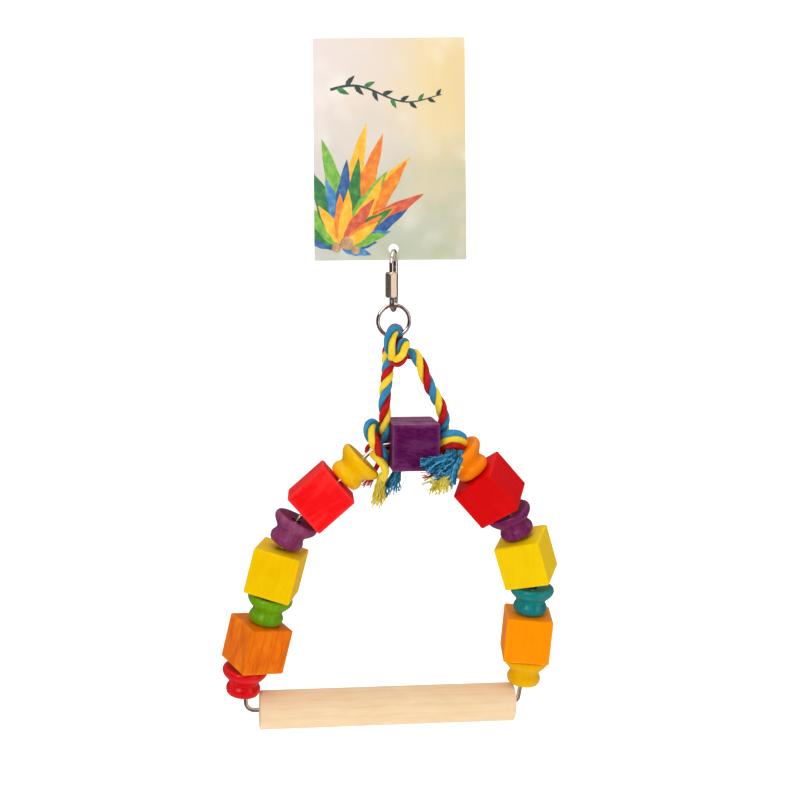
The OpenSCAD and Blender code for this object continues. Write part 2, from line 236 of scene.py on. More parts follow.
class Mat:
    """A node material with short ways to add nodes."""

    def __init__(self, name, **principled):
        self.m = bpy.data.materials.new(name)
        self.m.use_nodes = True
        self.t = self.m.node_tree
        self.b = next(n for n in self.t.nodes if n.type == "BSDF_PRINCIPLED")
        self.set(**principled)

    def set(self, **k):
        for a, v in k.items():
            s = self.b.inputs[a.replace("_", " ")]
            if isinstance(v, bpy.types.NodeSocket):
                self.t.links.new(v, s)
            else:
                s.default_value = v

    def nd(self, kind, out=0, ins=None, **props):
        n = self.t.nodes.new(kind)
        for a, v in props.items():
            setattr(n, a, v)
        for key, v in (ins or {}).items():
            s = n.inputs[key]
            if isinstance(v, bpy.types.NodeSocket):
                self.t.links.new(v, s)
            else:
                s.default_value = v
        return n.outputs[out]

    def coord(self, kind="Object"):
        n = self.t.nodes.new("ShaderNodeTexCoord")
        return n.outputs[kind]

    def mapping(self, v, loc=(0, 0, 0), rot=(0, 0, 0), scale=(1, 1, 1)):
        return self.nd("ShaderNodeMapping", ins={"Vector": v, "Location": loc, "Rotation": rot, "Scale": scale})

    def noise(self, v, scale=1.0, detail=3.0, rough=0.5, distortion=0.0, color=False):
        return self.nd("ShaderNodeTexNoise", 1 if color else 0, {"Vector": v, "Scale": scale, "Detail": detail, "Roughness": rough, "Distortion": distortion})

    def ramp(self, f, stops, interp="LINEAR"):
        n = self.t.nodes.new("ShaderNodeValToRGB")
        n.color_ramp.interpolation = interp
        el = n.color_ramp.elements
        while len(el) < len(stops):
            el.new(0.5)
        for e, (p, c) in zip(el, stops):
            e.position = p
            e.color = c if len(c) == 4 else (*c, 1)
        self.t.links.new(f, n.inputs[0])
        return n.outputs[0]

    def grey(self, f, lo, hi, a=0.0, b=1.0):
        return self.nd("ShaderNodeMapRange", ins={"Value": f, "From Min": lo, "From Max": hi, "To Min": a, "To Max": b})

    def mix(self, f, a, b, mode="MIX"):
        n = self.t.nodes.new("ShaderNodeMix")
        n.data_type = "RGBA"
        n.blend_type = mode
        for s, v in ((n.inputs[0], f), (n.inputs[6], a), (n.inputs[7], b)):
            if isinstance(v, bpy.types.NodeSocket):
                self.t.links.new(v, s)
            else:
                s.default_value = v
        return n.outputs[2]

    def math(self, op, a, b=0.0, c=0.0, clamp=False):
        return self.nd("ShaderNodeMath", ins={0: a, 1: b, 2: c}, operation=op, use_clamp=clamp)

    def bump(self, height, dist=0.0001, strength=1.0, normal=None):
        ins = {"Height": height, "Distance": dist, "Strength": strength}
        if normal is not None:
            ins["Normal"] = normal
        return self.nd("ShaderNodeBump", ins=ins)

    def attr(self, name):
        return self.nd("ShaderNodeAttribute", 2, attribute_name=name)


def dyed_wood(name, base, dark, light, seed, grain="Z", ring=(22, 9), ring_w=2.6, contrast=0.5, streak=0.35, rough=0.4, coat=0.15, blotch=0.25, edge=0.35, fine=1.0, end=(10, -6), gloss=0.3, lit_face=None, chop=1.0):
    """Dyed, waxed wood. Colours are sRGB 0-255. Growth rings about an axis beside the bead, fibre streaks along the
    grain, dye blotches and paler edges, partly wear and partly painted highlight.
    """
    m = Mat(name)
    r = {"Z": (0, 0, 0), "X": (0, rad(90), 0), "Y": (rad(90), 0, 0)}[grain]
    p = m.mapping(m.coord(), rot=r, scale=(1000, 1000, 1000))
    p = m.mapping(p, loc=(seed * 7.13 % 30, seed * 3.71 % 30, 0))
    warp = m.noise(m.mapping(p, scale=(0.10, 0.10, 0.03)), 1.0, 2, 0.5, color=True)
    pw = m.nd("ShaderNodeVectorMath", ins={0: warp, 1: (3.2, 3.2, 0.0)}, operation="MULTIPLY")
    pw = m.nd("ShaderNodeVectorMath", ins={0: p, 1: pw}, operation="ADD")
    tilt = m.mapping(pw, loc=(ring[0], ring[1], 0), rot=(rad(end[0]), rad(end[1]), 0))
    flat = m.nd("ShaderNodeVectorMath", ins={0: tilt, 1: (1, 1, 0)}, operation="MULTIPLY")
    dist = m.nd("ShaderNodeVectorMath", 1, {0: flat}, operation="LENGTH")
    saw = m.math("FRACT", m.math("DIVIDE", dist, ring_w))
    late = m.ramp(saw, [(0.0, (0, 0, 0)), (0.62, (0.10, 0.10, 0.10)), (0.88, (1, 1, 1)), (0.97, (0.85, 0.85, 0.85)), (1.0, (0, 0, 0))])
    fib = m.noise(m.mapping(p, scale=(2.3, 2.3, 0.10 * chop)), 1.0, 4, 0.62)
    fib2 = m.noise(m.mapping(p, scale=(6.5, 6.5, 0.32 * chop)), 1.0, 3, 0.6)
    big = m.noise(m.mapping(p, scale=(0.16, 0.16, 0.07)), 1.0, 3, 0.55)
    col = m.mix(m.math("MULTIPLY", late, contrast), lin(*base), lin(*dark))
    col = m.mix(m.grey(fib, 0.42, 0.72, 0, streak), col, lin(*dark))
    col = m.mix(m.grey(big, 0.5, 0.78, 0, blotch), col, lin(*light))
    col = m.mix(m.grey(big, 0.48, 0.25, 0, blotch * 0.8), col, lin(*dark))
    # paler rounded edges and hole rims: partly wear, partly painted highlight along the edges
    e = m.attr("edge")
    wear_and_sheen = m.math("MULTIPLY", m.grey(m.noise(p, 0.9, 3, 0.6), 0.35, 0.65, 0.35, 1.0), e)
    col = m.mix(m.math("MULTIPLY", wear_and_sheen, edge), col, lin(*light))
    spot = m.nd("ShaderNodeTexVoronoi", ins={"Vector": m.mapping(p, scale=(1.9, 1.9, 0.42)), "Scale": 1.0})
    pore = m.grey(spot, 0.0, 0.17, 1.0, 0.0)
    col = m.mix(m.math("MULTIPLY", pore, 0.30 * fine), col, lin(*dark))
    if lit_face:
        # painted light: one face (the top, as the purple block is placed) painted paler, with diagonal grain streaks
        o = m.mapping(m.coord(), scale=(1000, 1000, 1000))
        sx = m.t.nodes.new("ShaderNodeSeparateXYZ")
        m.t.links.new(o, sx.inputs[0])
        face = m.grey(sx.outputs[0], -12.2, -12.75)
        cut = m.noise(m.mapping(o, rot=(rad(-38), 0, 0), scale=(0.4, 0.62, 0.07)), 1.0, 4, 0.62)
        col = m.mix(m.math("MULTIPLY", face, m.grey(cut, 0.42, 0.6, 0.12, 0.85)), col, lin(*lit_face))
    m.set(Base_Color=col, Coat_Weight=coat, Coat_Roughness=0.16, Specular_IOR_Level=gloss, Specular_Tint=lin(*base))
    m.set(Roughness=m.grey(m.math("ADD", fib2, m.math("MULTIPLY", late, 0.25)), 0.3, 0.9, rough - 0.07, rough + 0.13))
    h = m.math("ADD", m.math("MULTIPLY", fib2, 0.5 * fine), m.math("MULTIPLY", late, -0.35))
    h = m.math("SUBTRACT", h, m.math("MULTIPLY", pore, 0.9 * fine))
    h = m.math("ADD", h, m.math("MULTIPLY", m.noise(p, 0.35, 3, 0.5), 0.8))
    m.set(Normal=m.bump(h, 0.00009, 0.9))
    return m.m


def cotton(name, base, dark, light, deep=0.5, lines=14, lay=1.02, thick=1.4):
    """Soft-spun cotton: fine yarn lines across the strand, fluff and a dry sheen. UV is (turn, mm)."""
    m = Mat(name)
    uv = m.coord("UV")
    sep = m.t.nodes.new("ShaderNodeSeparateXYZ")
    m.t.links.new(uv, sep.inputs[0])
    q = m.mapping(m.coord(), scale=(1000, 1000, 1000))
    wob = m.noise(q, 0.55, 2, 0.5)
    ph = m.math("ADD", m.math("MULTIPLY", sep.outputs[0], float(lines)), m.math("DIVIDE", sep.outputs[1], lay))
    ph = m.math("ADD", ph, m.math("MULTIPLY", wob, 0.8))
    wave = m.math("MULTIPLY_ADD", m.math("SINE", m.math("MULTIPLY", ph, 2 * math.pi)), 0.5, 0.5)
    fluff = m.noise(q, 5.5, 4, 0.65)
    patch = m.noise(q, 0.35, 3, 0.5)
    col = m.mix(m.grey(patch, 0.35, 0.7, 0.0, 0.45), lin(*base), lin(*light))
    # painted shade in the low lines between the yarns
    col = m.mix(m.math("MULTIPLY", m.math("SUBTRACT", 1.0, wave), 0.28 * thick), col, lin(*dark))
    col = m.mix(m.grey(fluff, 0.5, 0.8, 0.0, 0.22), col, lin(*light))
    # attribute shade: painted shade in the grooves between the strands; on single yarns, darker and paler yarns, partly
    # dye taken up unevenly and partly painted highlight and shade
    sh = m.attr("shade")
    col = m.mix(m.grey(sh, 0.05, 1.0, 0.0, 0.85), col, lin(*[c * deep for c in dark]))
    col = m.mix(m.grey(sh, 0.0, -1.0, 0.0, 0.8), col, lin(*[min(255, c * 1.12) for c in light]))
    m.set(Base_Color=col, Roughness=0.88, Sheen_Weight=0.3, Sheen_Roughness=0.45, Specular_IOR_Level=0.12)
    m.b.inputs["Sheen Tint"].default_value = lin(*light)
    h = m.math("ADD", m.math("MULTIPLY", wave, 0.55 * thick), m.math("MULTIPLY", fluff, 0.6))
    m.set(Normal=m.bump(h, 0.00012, 0.8))
    return m.m


def metal(name, base, rough=0.12, streak=0.06, scale=(0.4, 0.4, 0.4), bump=0.00001, tint=None, metallic=1.0, band=None):
    m = Mat(name, Metallic=metallic)
    q = m.mapping(m.coord(), scale=(1000 * scale[0], 1000 * scale[1], 1000 * scale[2]))
    n = m.noise(q, 1.0, 4, 0.6)
    fine = m.noise(q, 9.0, 3, 0.6)
    col = m.mix(m.grey(n, 0.4, 0.7), lin(*base), lin(*(tint or [min(255, c + 14) for c in base])))
    if band:
        # painted dark band on the wire below the nut, in place of a dark reflection
        sz = m.t.nodes.new("ShaderNodeSeparateXYZ")
        m.t.links.new(m.mapping(m.coord(), scale=(1000, 1000, 1000)), sz.inputs[0])
        low = m.math("MULTIPLY", m.grey(sz.outputs[2], band[0] + 0.6, band[0]), m.grey(sz.outputs[2], band[1] - 0.6, band[1] + 1.6))
        col = m.mix(m.math("MULTIPLY", low, 0.68), col, lin(64, 44, 36))
    m.set(Base_Color=col, Roughness=m.grey(m.math("ADD", m.math("MULTIPLY", n, 0.6), m.math("MULTIPLY", fine, 0.4)), 0.3, 0.75, rough, rough + streak))
    m.set(Normal=m.bump(m.math("ADD", n, m.math("MULTIPLY", fine, 0.3)), bump, 0.6))
    return m.m


# -------------------------------------------------------------- wire path ---
def sind(a):
    return math.sin(rad(a))


def cosd(a):
    return math.cos(rad(a))


def seg_end(st, sg):
    if sg[1] == 0:
        return [st[0] + sg[0] * cosd(st[2]), st[1] + sg[0] * sind(st[2]), st[2]]
    t = math.degrees(sg[0] / sg[1])
    return [st[0] + sg[1] * (sind(st[2] + t) - sind(st[2])), st[1] - sg[1] * (cosd(st[2] + t) - cosd(st[2])), st[2] + t]


def along(st, segs, s):
    for g in segs[:-1]:
        if s <= g[0]:
            return seg_end(st, [s, g[1]])
        s -= g[0]
        st = seg_end(st, g)
    return seg_end(st, [s, segs[-1][1]])


def last(st, segs):
    for g in segs:
        st = seg_end(st, g)
    return st


TOP = [10.2, -102.8, -1.5]
L0, R0 = [TOP[0], TOP[1], 178.5], [TOP[0], TOP[1], 358.5]
LRUN = [[10.3, 0], [18, 20.6], [24, -95.6], [22, 76.9], [26, 67.1], [24, 199.9], [26, -107.2], [37.8, 82.6]]
RRUN = [[11.9, 0], [22, -21.9], [24, 100.5], [22, -61.8], [26, -184.7], [24, -56.7], [26, 301.2], [31.2, -289.1]]
NECK, GAP = 2.6, 0.3
l_low, r_low = last(L0, LRUN), last(R0, RRUN)


def hooks(t):
    a = [rad(360 + t - l_low[2]) * 5, 5]
    b = [rad(r_low[2] - 180 - t) * 3, -3]
    return a, b


def hook_slope(t):
    a, b = hooks(t)
    p, q = seg_end(l_low, a), seg_end(r_low, b)
    return math.degrees(math.atan2(q[1] - p[1], q[0] - p[0]))


tilt = hook_slope(hook_slope(hook_slope(-2)))
hl, hr = hooks(tilt)
hook_l, hook_r = seg_end(l_low, hl), seg_end(r_low, hr)
perch_len = math.hypot(hook_r[0] - hook_l[0], hook_r[1] - hook_l[1]) - NECK - GAP
perch_mid = [hook_l[0] + (NECK + perch_len / 2) * cosd(tilt), hook_l[1] + (NECK + perch_len / 2) * sind(tilt)]


def bead_at(st, run, s, ln, off=0.0, askew=0.0):
    a, b, m = along(st, run, s - ln / 2), along(st, run, s + ln / 2), along(st, run, s)
    h = math.degrees(math.atan2(a[1] - b[1], a[0] - b[0]))
    return [(m[0] + (a[0] + b[0]) / 2) / 2 + off * sind(h), (m[1] + (a[1] + b[1]) / 2) / 2 - off * cosd(h), h + askew]


def place(p, spin=0.0):
    return Matrix.Translation(Vector((p[0] * MM, 0, p[1] * MM))) @ Matrix.Rotation(rad(90 - p[2]), 4, "Y") @ Matrix.Rotation(rad(spin), 4, "Z")


# ------------------------------------------------------------------- wire ---
steel = metal("arch_steel", (222, 218, 214), 0.14, 0.08, (0.25, 0.25, 0.25), 0.00001)
lf = LRUN + [hl, [NECK + 10, 0]]
rf = RRUN + [hr, [GAP + 10, 0]]


def run_points(st, run, step=0.8):
    n = int(sum(g[0] for g in run) / step)
    tot = sum(g[0] for g in run)
    return [along(st, run, tot * i / n)[:2] for i in range(n + 1)]


pl, pr = run_points(L0, lf), run_points(R0, rf)
P = np.array([(x, 0, z) for x, z in (pl[::-1] + pr[1:])])
b = Build()
tube(b, P, 1.2, 20)
wire = b.make("arch_wire_steel", [steel])
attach(wire, "arch")
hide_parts("wire_frame")


# ------------------------------------------------------------------ beads ---
def cube_build(h=12.9, r=1.1, bore=3.0, seed=0, soft=1.0):
    """A rounded block with a drilled hole whose rim is slightly broken. The attribute edge is 1 on the rounded edges."""
    rng = np.random.default_rng(seed)
    t = np.tan(np.linspace(0, np.pi / 4, 6))
    inner = np.linspace(-(h - r), h - r, 15)
    g = np.concatenate([-(h - r) - r * t[:0:-1], inner, (h - r) + r * t[1:]])
    n = len(g)
    b = Build()
    bulge = rng.normal(0, 1, (6, 3))

    def rounded(Q, axis_id):
        c = np.clip(Q, -(h - r), h - r)
        d = Q - c
        ln = np.linalg.norm(d, axis=1, keepdims=True)
        out = np.where(ln > 1e-9, c + d / np.maximum(ln, 1e-9) * r, Q)
        u = Q / h
        # slightly uneven faces, as sanded by hand, are worked out here but not applied
        k = bulge[axis_id]
        w = 0.05 * soft * (k[0] * u[:, (axis_id // 2 + 1) % 3] + k[1] * u[:, (axis_id // 2 + 2) % 3] + k[2] * 0.5)
        return out

    def edge_at(V):
        s = np.sort(np.abs(V), axis=1)
        return np.clip((s[:, 1] - (h - 1.9)) / 1.5, 0, 1) ** 1.6

    for ax in range(3):
        for sg in (-1, 1):
            a, c = (ax + 1) % 3, (ax + 2) % 3
            A, C = np.meshgrid(g, g, indexing="ij")
            Q = np.zeros((n * n, 3))
            Q[:, a], Q[:, c], Q[:, ax] = A.ravel(), C.ravel(), sg * h
            V = rounded(Q, ax * 2 + (sg > 0))
            faces = []
            skip = ax == 2
            for i in range(n - 1):
                for j in range(n - 1):
                    if skip and max(abs(g[i]), abs(g[i + 1])) <= h - r + 1e-6 and max(abs(g[j]), abs(g[j + 1])) <= h - r + 1e-6:
                        continue
                    q = [i * n + j, (i + 1) * n + j, (i + 1) * n + j + 1, i * n + j + 1]
                    faces.append(q if sg > 0 else q[::-1])
            b.add(V, faces, [[(0, 0)] * 4] * len(faces), 0, edge_at(V))
    # drilled faces: from the flat square in to the hole's rim, then down the bore
    k = len(inner)
    sq = [(inner[0], y) for y in inner[:-1]] + [(x, inner[-1]) for x in inner[:-1]] + [(inner[-1], y) for y in inner[:0:-1]] + [(x, inner[0]) for x in inner[:0:-1]]
    sq = np.array(sq)
    ang = np.arctan2(sq[:, 1], sq[:, 0])
    loops = []
    rim = bore + 0.25 + 0.10 * np.sin(ang * 5 + seed) + 0.06 * np.sin(ang * 11 + 2 * seed)
    for f in np.linspace(0, 1, 8):
        circ = np.stack([np.cos(ang), np.sin(ang)], 1) * rim[:, None]
        xy = sq * (1 - f) + circ * f
        loops.append(np.column_stack([xy, np.full(len(xy), h)]))
    for rr, zz in ((0.1, 0.12), (0.0, 0.45), (0.0, 2.0), (0.0, 6.0)):
        xy = np.stack([np.cos(ang), np.sin(ang)], 1) * (bore + rr)
        loops.append(np.column_stack([xy, np.full(len(xy), h - zz)]))
    for sg in (1, -1):
        V = np.concatenate(loops) * np.array([1, 1, sg])
        m = len(sq)
        faces = []
        for i in range(len(loops) - 1):
            for j in range(m):
                j2 = (j + 1) % m
                q = [i * m + j, i * m + j2, (i + 1) * m + j2, (i + 1) * m + j]
                faces.append(q if sg < 0 else q[::-1])
        E = edge_at(V)
        E[7 * m : 9 * m] = 0.7
        b.add(V, faces, [[(0, 0)] * 4] * len(faces), 0, E)
    xy = np.stack([np.cos(ang), np.sin(ang)], 1) * bore
    V = np.concatenate([np.column_stack([xy, np.full(len(xy), z)]) for z in (h - 6.0, 0, -(h - 6.0))])
    m = len(sq)
    faces = [[i * m + (j + 1) % m, i * m + j, (i + 1) * m + j, (i + 1) * m + (j + 1) % m] for i in range(2) for j in range(m)]
    b.add(V, faces, [[(0, 0)] * 4] * len(faces), 0)
    return b


def weld(ob, dist=0.00002):
    import bmesh

    bm = bmesh.new()
    bm.from_mesh(ob.data)
    bmesh.ops.remove_doubles(bm, verts=bm.verts, dist=dist)
    bmesh.ops.recalc_face_normals(bm, faces=bm.faces)
    bm.to_mesh(ob.data)
    bm.free()
    ob.data.update()


CUBES = [
    # node, place, spin, base, dark, light, options
    ("cube_purple_middle", TOP, -4.6, (98, 25, 84), (44, 0, 42), (156, 90, 138), dict(grain="Z", contrast=0.3, streak=1.0, blotch=0.26, rough=0.55, coat=0.0, fine=3.2, ring=(18, 30), ring_w=1.9, edge=0.55, lit_face=(172, 112, 150), chop=3.2)),
    ("cube_red_left", bead_at(L0, LRUN, 59.9, 25.8), -7.7, (246, 24, 28), (214, 0, 10), (255, 70, 66), dict(grain="Z", contrast=0.15, streak=0.3, blotch=0.45, rough=0.45, coat=0.02, edge=0.6)),
    ("cube_yellow_left", bead_at(L0, LRUN, 108.9, 25.8), -17, (236, 190, 0), (218, 164, 0), (244, 206, 10), dict(contrast=0.12, streak=0.25, blotch=0.3, rough=0.45, coat=0.02, edge=0.5)),
    ("cube_orange_left", bead_at(L0, LRUN, 152.2, 25.8, 0.3, 6), 26.7, (240, 116, 0), (176, 66, 0), (252, 146, 14), dict(contrast=0.2, streak=0.75, blotch=0.5, rough=0.42, coat=0.03, edge=0.4, ring=(14, 3), ring_w=7.5)),
    ("cube_red_right", bead_at(R0, RRUN, 55.6, 25.8), -29.6, (212, 0, 4), (176, 0, 6), (232, 22, 24), dict(contrast=0.1, streak=0.18, blotch=0.25, rough=0.3, coat=0.1, edge=0.45, fine=0.25, gloss=0.12)),
    ("cube_yellow_right", bead_at(R0, RRUN, 101.9, 25.8), -27, (240, 200, 0), (222, 172, 0), (248, 216, 8), dict(contrast=0.12, streak=0.2, blotch=0.25, rough=0.42, coat=0.03, edge=0.35)),
    ("cube_orange_right", bead_at(R0, RRUN, 148.6, 25.8), -9.3, (252, 144, 0), (234, 114, 0), (255, 166, 14), dict(contrast=0.14, streak=0.25, blotch=0.25, rough=0.42, coat=0.03, edge=0.35)),
]
for i, (node, p, spin, base, dark, light, opt) in enumerate(CUBES):
    m = dyed_wood("dyed_" + node, base, dark, light, 3 + i * 2.3, **opt)
    ob = cube_build(seed=i).make("block_" + node[5:], [m], matrix=place(p, spin), attribute="edge")
    weld(ob)
    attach(ob, node + "_bead")
    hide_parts(node)

h = 8.0
SPOOL = [
    (7.5, -h), (8.35, -h * 0.95), (9.1, -h * 0.8), (9.45, -h * 0.62), (9.4, -h * 0.47), (8.95, -h * 0.34),
    (8.4, -h * 0.22), (8.25, -h * 0.1), (8.55, h * 0.02), (9.5, h * 0.16), (10.95, h * 0.35), (12.05, h * 0.54), (12.48, h * 0.72), (12.28, h * 0.88), (11.55, h * 0.985),
    (10.9, h), (9.9, h * 0.985), (7.9, h * 0.93), (5.4, h * 0.88), (3.7, h * 0.86),
]


def spool_build(seed):
    prof = smooth_profile(SPOOL, 0.3)
    prof = np.vstack([[(3.4, -h), (4.6, -h), (6.2, -h)], prof, [(3.15, h * 0.85), (3.0, h * 0.8), (3.0, h * 0.3), (3.0, -h * 0.5), (3.02, -h * 0.93), (3.15, -h * 0.99)]])
    s = prof[:, 1] / h
    e = np.exp(-(((prof[:, 1] - h * 0.9) / 1.0) ** 2)) * (prof[:, 0] > 10.5) + 0.8 * np.exp(-(((prof[:, 1] + h * 0.85) / 0.8) ** 2)) * (prof[:, 0] > 8)
    b = Build()
    lathe(b, prof, 72, at=np.clip(e, 0, 1))
    rng = np.random.default_rng(seed)
    V = b.v[0]
    a = np.arctan2(V[:, 1], V[:, 0])
    q = rng.normal(0, 0.05, 4)
    grow = 1 + (q[0] * np.cos(2 * a + seed) + q[1] * np.cos(3 * a)) * 0.06
    big = np.hypot(V[:, 0], V[:, 1]) > 4
    V[big, :2] *= grow[big, None]
    return b


SPOOLS = [
    ("spool_yellow_left", bead_at(L0, LRUN, 37.1, 16), (240, 186, 0), (218, 154, 0), (246, 206, 12), dict(contrast=0.1, streak=0.15, blotch=0.2, rough=0.34, coat=0.22)),
    ("spool_purple_left", bead_at(L0, LRUN, 85.4, 16), (134, 56, 98), (88, 14, 66), (170, 104, 138), dict(contrast=0.35, streak=0.35, blotch=0.55, rough=0.42, coat=0.1)),
    ("spool_green_left", bead_at(L0, LRUN, 131.1, 16), (104, 160, 4), (66, 116, 0), (148, 188, 30), dict(contrast=0.2, streak=0.25, blotch=0.45, rough=0.34, coat=0.34)),
    ("spool_red_left", bead_at(L0, LRUN, 174.5, 16, -1.5), (216, 10, 18), (166, 0, 10), (234, 48, 50), dict(contrast=0.15, streak=0.15, blotch=0.35, rough=0.32, coat=0.36)),
    ("spool_orange_right", bead_at(R0, RRUN, 33.9, 16), (250, 134, 2), (230, 102, 0), (255, 158, 20), dict(contrast=0.1, streak=0.15, blotch=0.15, rough=0.34, coat=0.2)),
    ("spool_purple_right", bead_at(R0, RRUN, 79.6, 16), (116, 30, 86), (80, 4, 66), (156, 84, 128), dict(contrast=0.3, streak=0.3, blotch=0.5, rough=0.34, coat=0.3)),
    ("spool_teal_right", bead_at(R0, RRUN, 127.2, 16), (8, 126, 128), (0, 92, 98), (66, 160, 154), dict(contrast=0.2, streak=0.2, blotch=0.42, rough=0.32, coat=0.36)),
    ("spool_yellow_right", bead_at(R0, RRUN, 169.9, 16, 1.1), (230, 172, 0), (202, 140, 0), (242, 194, 10), dict(contrast=0.15, streak=0.2, blotch=0.2, rough=0.38, coat=0.06)),
]
for i, (node, p, base, dark, light, opt) in enumerate(SPOOLS):
    m = dyed_wood("dyed_" + node, base, dark, light, 31 + i * 1.9, ring=(3, 2), ring_w=2.3, end=(4, -3), edge=0.12, fine=0.6, **opt)
    ob = spool_build(i + 11).make("turned_" + node, [m], matrix=place(p, 40 * i), attribute="edge")
    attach(ob, node + "_bead")
    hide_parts(node)

# ------------------------------------------------------------------ perch ---
pine = dyed_wood("bare_pine", (236, 208, 170), (225, 187, 138), (243, 221, 190), 5.0, ring=(-31, 12), ring_w=4.6, end=(1.9, -1.5), contrast=0.32, streak=0.34, blotch=0.4, rough=0.6, coat=0.0, edge=0.1, fine=0.5, gloss=0.25)
L = perch_len / 2
R = 10.8
prof = [(1.3, L - 12), (1.3, L - 0.3), (1.5, L), (4, L), (8, L), (R - 0.75, L), (R - 0.25, L - 0.2), (R, L - 0.75)]
prof += [(R, z) for z in np.linspace(L - 2, -L + 2, 80)]
prof += [(R, -L + 0.75), (R - 0.25, -L + 0.2), (R - 0.75, -L), (8, -L), (4, -L), (1.5, -L), (1.3, -L + 0.3), (1.3, -L + 12)]
b = Build()
lathe(b, prof[::-1], 96, closed=False, at=[0.0] * len(prof))
for zz, sg in ((L - 12, 1), (-(L - 12), -1)):
    V = [(1.3 * math.cos(a), 1.3 * math.sin(a), zz) for a in np.linspace(0, 2 * math.pi, 96, endpoint=False)]
    b.add(V, [list(range(96))[:: (1 if sg > 0 else -1)]], [[(0, 0)] * 96], 0)
V = b.v[0]
a = np.arctan2(V[:, 1], V[:, 0])
outer = np.hypot(V[:, 0], V[:, 1]) > 9
wob = 1 + 0.004 * np.sin(2 * a + V[:, 2] * 0.02) + 0.0025 * np.sin(3 * a - V[:, 2] * 0.05)
V[outer, :2] *= wob[outer, None] * 0.997
perch = b.make("perch_dowel", [pine], matrix=place([perch_mid[0], perch_mid[1], tilt]), attribute="edge", sharp=50)
weld(perch, 0.000005)
perch.data.set_sharp_from_angle(angle=rad(40))
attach(perch, "perch_bar")
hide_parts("perch")

# ------------------------------------------------- quick link, nut, ring ---
nickel = metal("link_nickel", (228, 214, 208), 0.06, 0.05, (0.5, 0.5, 0.5), 0.000006, band=(-22.0, -27.4))
nut_m = metal("nut_nickel", (238, 223, 211), 0.2, 0.03, (0.9, 0.9, 0.12), 0.000001, metallic=0.945)
ring_m = metal("ring_nickel", (222, 206, 206), 0.05, 0.05, (0.5, 0.5, 0.5), 0.000004)
yaw = Matrix.Rotation(rad(-18), 4, "Z")
lr, br = 1.25, 6.2
lt, lb = lr - br, 2.5 + lr + br - 33.1


def link_part(pts, name, threads):
    Q, e, _ = spline(pts, 0.25) if len(pts) > 2 else (np.array(pts, float), None, None)
    return Q


top = [(0, -br * math.cos(a), lt + br * math.sin(a)) for a in np.linspace(0, math.pi, 49)]
bot = [(0, br * math.cos(a), lb - br * math.sin(a)) for a in np.linspace(0, math.pi, 49)]
right_leg = [(0, br, z) for z in np.linspace(lt, lb, 30)][1:-1]
up_leg = [(0, -br, z) for z in np.linspace(lb, -21.2, 30)][1:]
down_leg = [(0, -br, z) for z in np.linspace(-18.2, lt, 120)][:-1]
path = np.array(down_leg + top + right_leg + bot + up_leg, float)
T = tangents(path)
Nn = np.repeat([[1.0, 0, 0]], len(path), 0)
Bn = np.cross(T, Nn)
rr = np.full(len(path), lr)
b = Build()


def threaded(b, z0, z1, r0, pitch=0.5, depth=0.11, m=28):
    n = int(abs(z1 - z0) / 0.07)
    zs = np.linspace(z0, z1, n)
    ang = 2 * np.pi * np.arange(m) / m
    V = []
    for z in zs:
        ph = (z / pitch - ang / (2 * np.pi)) % 1.0
        prof = depth * np.abs(2 * ph - 1)
        end = min(abs(z - z0), abs(z - z1), 0.3) / 0.3
        rz = (r0 - prof * end) if r0 else 0
        V.append(np.stack([rz * np.cos(ang), -br + rz * np.sin(ang), np.full(m, z)], 1))
    V = np.concatenate(V)
    faces = [(i * m + k, i * m + (k + 1) % m, (i + 1) * m + (k + 1) % m, (i + 1) * m + k) for i in range(n - 1) for k in range(m)]
    if z1 < z0:
        faces = [f[::-1] for f in faces]
    b.add(V, faces, [[(0, 0)] * 4] * len(faces), 0)
    for i, fl in ((0, True), (n - 1, False)):
        ring = [i * m + k for k in range(m)]
        up = (z1 > z0) != fl
        b.add(V[ring], [list(range(m)) if up else list(range(m))[::-1]], [[(0, 0)] * m], 0)


main = path[np.array([not (abs(p[1] + br) < 1e-6 and -24.6 < p[2] < -9.4) for p in path])]
# plain wire from above the thread, over the top, down and round to below the gap
k = next(i for i, p in enumerate(path) if p[2] > -9.2)
j = len(path) - 1 - next(i for i, p in enumerate(path[::-1]) if p[2] < -24.4)
tube(b, path[k : j + 1], lr, 24, N=Nn[k : j + 1], B=Bn[k : j + 1])
threaded(b, -18.2, path[k][2] + 0.1, lr)
threaded(b, path[j][2] - 0.1, -21.2, lr)
link = b.make("quick_link_body", [nickel], matrix=yaw, sharp=60)
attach(link, "link")
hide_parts("quick_link")

# hexagonal nut: chamfered corners at both ends, a bored and lightly countersunk hole
af = 6.2
b = Build()
m = 96
ang = 2 * np.pi * np.arange(m) / m


def hexr(a, half, rnd=0.12):
    q = (a % (np.pi / 3)) - np.pi / 6
    return np.minimum(half / np.cos(q), half / math.cos(math.pi / 6) - rnd)


V, rows = [], []
zl, zh = -21.9, -8.9
hx = hexr(ang + np.pi / 6, af / 2)
tops = []
for z, cone in ((zl, 0.0), (zl + 0.18, 0.25), (zl + 0.4, 0.5), (zl + 0.75, 1.0), (zl + 1.2, 9)):
    lim = af / 2 - 0.12 + cone * 0.55
    tops.append((z, np.minimum(hx, lim)))
mid = [(z, hx) for z in np.linspace(zl + 2, zh - 2, 12)]
ends = [(zl + zh - z, r) for z, r in tops[::-1]]
inner = [(zh, np.full(m, 1.75)), (zh - 0.3, np.full(m, 1.36)), (zh - 2, np.full(m, 1.33)), (zl + 2, np.full(m, 1.33)), (zl + 0.3, np.full(m, 1.36)), (zl, np.full(m, 1.75))]
rings_ = tops + mid + ends + inner
for z, r in rings_:
    V.append(np.stack([r * np.cos(ang), -br + r * np.sin(ang), np.full(m, z)], 1))
n = len(V)
